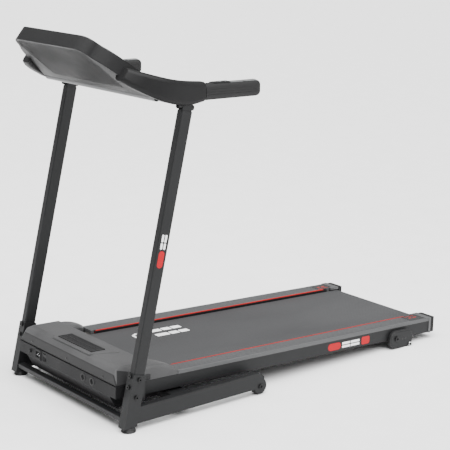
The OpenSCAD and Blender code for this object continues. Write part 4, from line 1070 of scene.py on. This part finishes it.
softened("strut_cylinder", "boltBlack", 0.8 * mm)
softened("strut_rod", "chrome", 0.5 * mm)

# Incline foot: a pressed plate with a rubber tyre round its edge, and two black discs on it as painted shade for its
# holes
footPlate = {"radius": 0.031, "span": 0.049, "width": 0.014, "rim": 0.0045, "drop": None}
for side, flip in sides:
    node = "incline_foot_" + side
    low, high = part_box(node)
    f = footPlate
    middle = (low + high) / 2
    r = f["radius"]
    for part, inset, thick, finish in (("Tyre", 0.0, 0.0122, "rubberAndPaintedShade"), ("Plate", f["rim"], 0.014, "powderCoat")):
        bm = bmesh.new()
        outline = []
        for centre, start in ((f["span"] / 2, -90), (-f["span"] / 2, 90)):
            for i in range(25):
                a = math.radians(start + 180 * i / 24)
                outline.append((centre + (r - inset) * math.cos(a), (r - inset) * math.sin(a)))
        both, top = plateFrom(bm, outline, thick, Matrix.Identity(4))
        rims = [e for e in bm.edges if abs(e.verts[0].co.z - e.verts[1].co.z) < 1e-6]
        roundEdges(bm, rims, 0.0016, 3)
        shift = Matrix.Translation((0, 0, (f["width"] - thick) / 2 if part == "Tyre" else 0))
        stand = Matrix.Rotation(-deckPitch, 4, "X") @ Matrix.Rotation(math.radians(90), 4, "Z") @ Matrix.Rotation(math.radians(90), 4, "X")
        x = low.x if side == "left" else high.x
        carry(bm, Matrix.Translation((abs(x), middle.y, middle.z)) @ stand @ shift)
        carry(bm, flip)
        addPiece("inclineFoot" + part + "_" + side, bm, finish, node, [node] if part == "Plate" else ())
    # Two black discs on the plate's outer face: painted shade for its two holes
    bm = bmesh.new()
    for along in (0.003, 0.019):
        before = set(bm.verts)
        spunPiece(bm, [(0, 0.0002), (0.0030, 0.0002), (0.0032, -0.0006), (0, -0.0006)], 20)
        out = abs(high.x if side == "left" else low.x)
        carry(bm, Matrix.Translation((out, middle.y + along, middle.z)) @ Matrix.Rotation(math.radians(90), 4, "Y"),
              [v for v in bm.verts if v not in before])
    carry(bm, flip)
    addPiece("inclineHoleShades_" + side, bm, "labelBlackAndPaintedShade", node)
softened("incline_bolts", "boltBlack", 0.5 * mm)

# Lock pins: a ringed chrome head on its stem
for side, flip in sides:
    node = "pull_pin_" + side
    low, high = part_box(node)
    centre = (low + high) / 2
    outward = 1 if side == "left" else -1
    face = high.x if side == "left" else low.x
    bm = bmesh.new()
    stand = Matrix.Translation((face, centre.y, centre.z)) @ Matrix.Rotation(math.radians(90) * outward, 4, "Y")
    spunPiece(bm, [(0, -0.0210), (0.004, -0.0210), (0.004, -0.0068), (0.0056, -0.0066), (0.0068, -0.0056),
                   (0.0070, -0.0040), (0.0068, -0.0028), (0.0060, -0.0020), (0.0048, -0.0024), (0, -0.0026)], 36)
    carry(bm, stand)
    addPiece("pinRing_" + side, bm, "chrome", node, [node])
    bm = bmesh.new()
    spunPiece(bm, [(0, -0.0030), (0.0042, -0.0030), (0.0044, -0.0010), (0.0036, -0.0002), (0.0020, 0), (0, 0)], 32)
    carry(bm, stand)
    addPiece("pinKnob_" + side, bm, "boltBlack", node)
print("strut, feet and pins done")

# ---- generic marks ----

markDepth = 0.00018


def flatMark(bm, outline, matrix):
    both, top = plateFrom(bm, outline, markDepth, matrix)
    return both


# Six-sided ring and two rows of plain bars on the belt
beltMark = {"ringX": -0.104, "ringY": 0.277, "outer": 0.030, "inner": 0.0205, "rows": ((-0.1275, 0.024), (-0.0810, 0.024)),
            "bars": ((0.322, 0.050), (0.377, 0.034), (0.416, 0.036))}
bm = bmesh.new()
onBelt = deckSpace @ Matrix.Translation((0, 0, beltLocal["top"] + 0.00005))
b = beltMark
for i in range(6):
    a0, a1 = math.radians(60 * i + 4), math.radians(60 * i + 56)
    flatMark(bm, [(b["ringX"] + r * math.cos(a), b["ringY"] + r * math.sin(a))
                  for r, a in ((b["inner"], a0), (b["outer"], a0), (b["outer"], a1), (b["inner"], a1))], onBelt)
for x, wide in b["rows"]:
    for y, length in b["bars"]:
        flatMark(bm, roundedOutline(wide, length, 0.004, 4, x, y + length / 2), onBelt)
addPiece("beltMark", bm, "markWhite", "deck")

# Plain pill and bars on the outside of each side rail and upright
railMark = {"height": -0.0075, "pill": (0.764, 0.056, 0.024), "badge": (0.915, 0.036, 0.026),
            "bars": ((0.826, 0.036), (0.865, 0.040)), "rows": (0.0052, -0.0058), "barHeight": 0.0078}
uprightMark = {"pill": (0.486, 0.050, 0.020), "bars": ((0.541, 0.018), (0.562, 0.022)), "rows": (-0.0055, 0.0055),
               "barWidth": 0.0075}
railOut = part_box("deck_rail_left")[1].x
reds, whites, uprightReds, uprightWhites = (bmesh.new() for i in range(4))
for side, flip in sides:
    onRail = flip @ deckSpace @ Matrix.Translation((railOut, 0, 0)) @ Matrix.Rotation(math.radians(90), 4, "Y") \
        @ Matrix.Rotation(math.radians(90), 4, "Z")
    r = railMark
    y, length, height = r["pill"]
    flatMark(reds, roundedOutline(length, height, height * 0.48, 8, y + length / 2, r["height"]), onRail)
    y, length, height = r["badge"]
    flatMark(reds, roundedOutline(length, height, 0.006, 6, y + length / 2, r["height"]), onRail)
    for y, length in r["bars"]:
        for rise in r["rows"]:
            flatMark(whites, roundedOutline(length, r["barHeight"], 0.002, 3, y + length / 2, r["height"] + rise), onRail)
    onUpright = flip @ uprightSpace @ Matrix.Translation((0.0125, 0, 0)) @ Matrix.Rotation(math.radians(90), 4, "Y") \
        @ Matrix.Rotation(math.radians(90), 4, "Z")
    u = uprightMark
    z, length, width = u["pill"]
    flatMark(uprightReds, roundedOutline(width, length, width * 0.48, 8, 0, z + length / 2), onUpright)
    for z, length in u["bars"]:
        for across in u["rows"]:
            flatMark(uprightWhites, roundedOutline(u["barWidth"], length, 0.002, 3, across, z + length / 2), onUpright)
addPiece("railRedMarks", reds, "markRed", "deck")
addPiece("railWhiteMarks", whites, "markWhite", "deck")
addPiece("uprightRedMarks", uprightReds, "markRed", "base")
addPiece("uprightWhiteMarks", uprightWhites, "markWhite", "base")
print("marks done")

# ---- floor, light and camera ----

studio = {"floorSize": 44.0, "floorColour": (0.90, 0.90, 0.90), "worldColour": (1.0, 1.0, 1.0), "worldStrength": 0.6,
          "sunStrength": 8.0, "sunFrom": (0.45, -0.10, 1.0), "sunSpread": 70,
          "side": ((4.2, 1.8, 2.2), 45.0, 2.6), "top": ((-0.6, -1.2, 3.2), 60.0, 2.4)}
bm = bmesh.new()
bmesh.ops.create_grid(bm, x_segments=1, y_segments=1, size=studio["floorSize"] / 2)
mesh = bpy.data.meshes.new("studioFloor")
bm.to_mesh(mesh)
bm.free()
floor = bpy.data.objects.new("studioFloor", mesh)
bpy.context.scene.collection.objects.link(floor)
mesh.materials.append(grainedFinish("studioFloor", studio["floorColour"], 0.75, 40, 0.00002, tint=0.01, specular=0.15))

world = bpy.data.worlds.new("studio")
bpy.context.scene.world = world
world.use_nodes = True
world.node_tree.nodes["Background"].inputs["Color"].default_value = (*studio["worldColour"], 1)
world.node_tree.nodes["Background"].inputs["Strength"].default_value = studio["worldStrength"]
middle = (cadBox[0] + cadBox[1]) / 2
sun = bpy.data.lights.new("sun", "SUN")
sun.energy = studio["sunStrength"]
sun.angle = math.radians(studio["sunSpread"])
lamp = bpy.data.objects.new("sunLight", sun)
lamp.rotation_euler = (-Vector(studio["sunFrom"])).to_track_quat("-Z", "Y").to_euler()
bpy.context.scene.collection.objects.link(lamp)
for name in ("side", "top"):
    spot, power, size = studio[name]
    data = bpy.data.lights.new(name, "AREA")
    data.energy = power
    data.size = size
    lamp = bpy.data.objects.new(name + "Light", data)
    lamp.location = spot
    lamp.rotation_euler = (Vector(middle) - Vector(spot)).to_track_quat("-Z", "Y").to_euler()
    bpy.context.scene.collection.objects.link(lamp)

view = {"location": (3.475, -2.7745, 1.572), "down": 10.689, "turn": 51.546, "lens": 111.64,
        "shiftX": -0.0071, "shiftY": -0.1836}
data = bpy.data.cameras.new("studioCamera")
data.sensor_width = 36
data.lens = view["lens"]
data.shift_x, data.shift_y = view["shiftX"], view["shiftY"]
camera = bpy.data.objects.new("studioCamera", data)
camera.location = view["location"]
camera.rotation_euler = (math.radians(90 - view["down"]), 0, math.radians(view["turn"]))
bpy.context.scene.collection.objects.link(camera)
bpy.context.scene.camera = camera
print("floor, light and camera done")
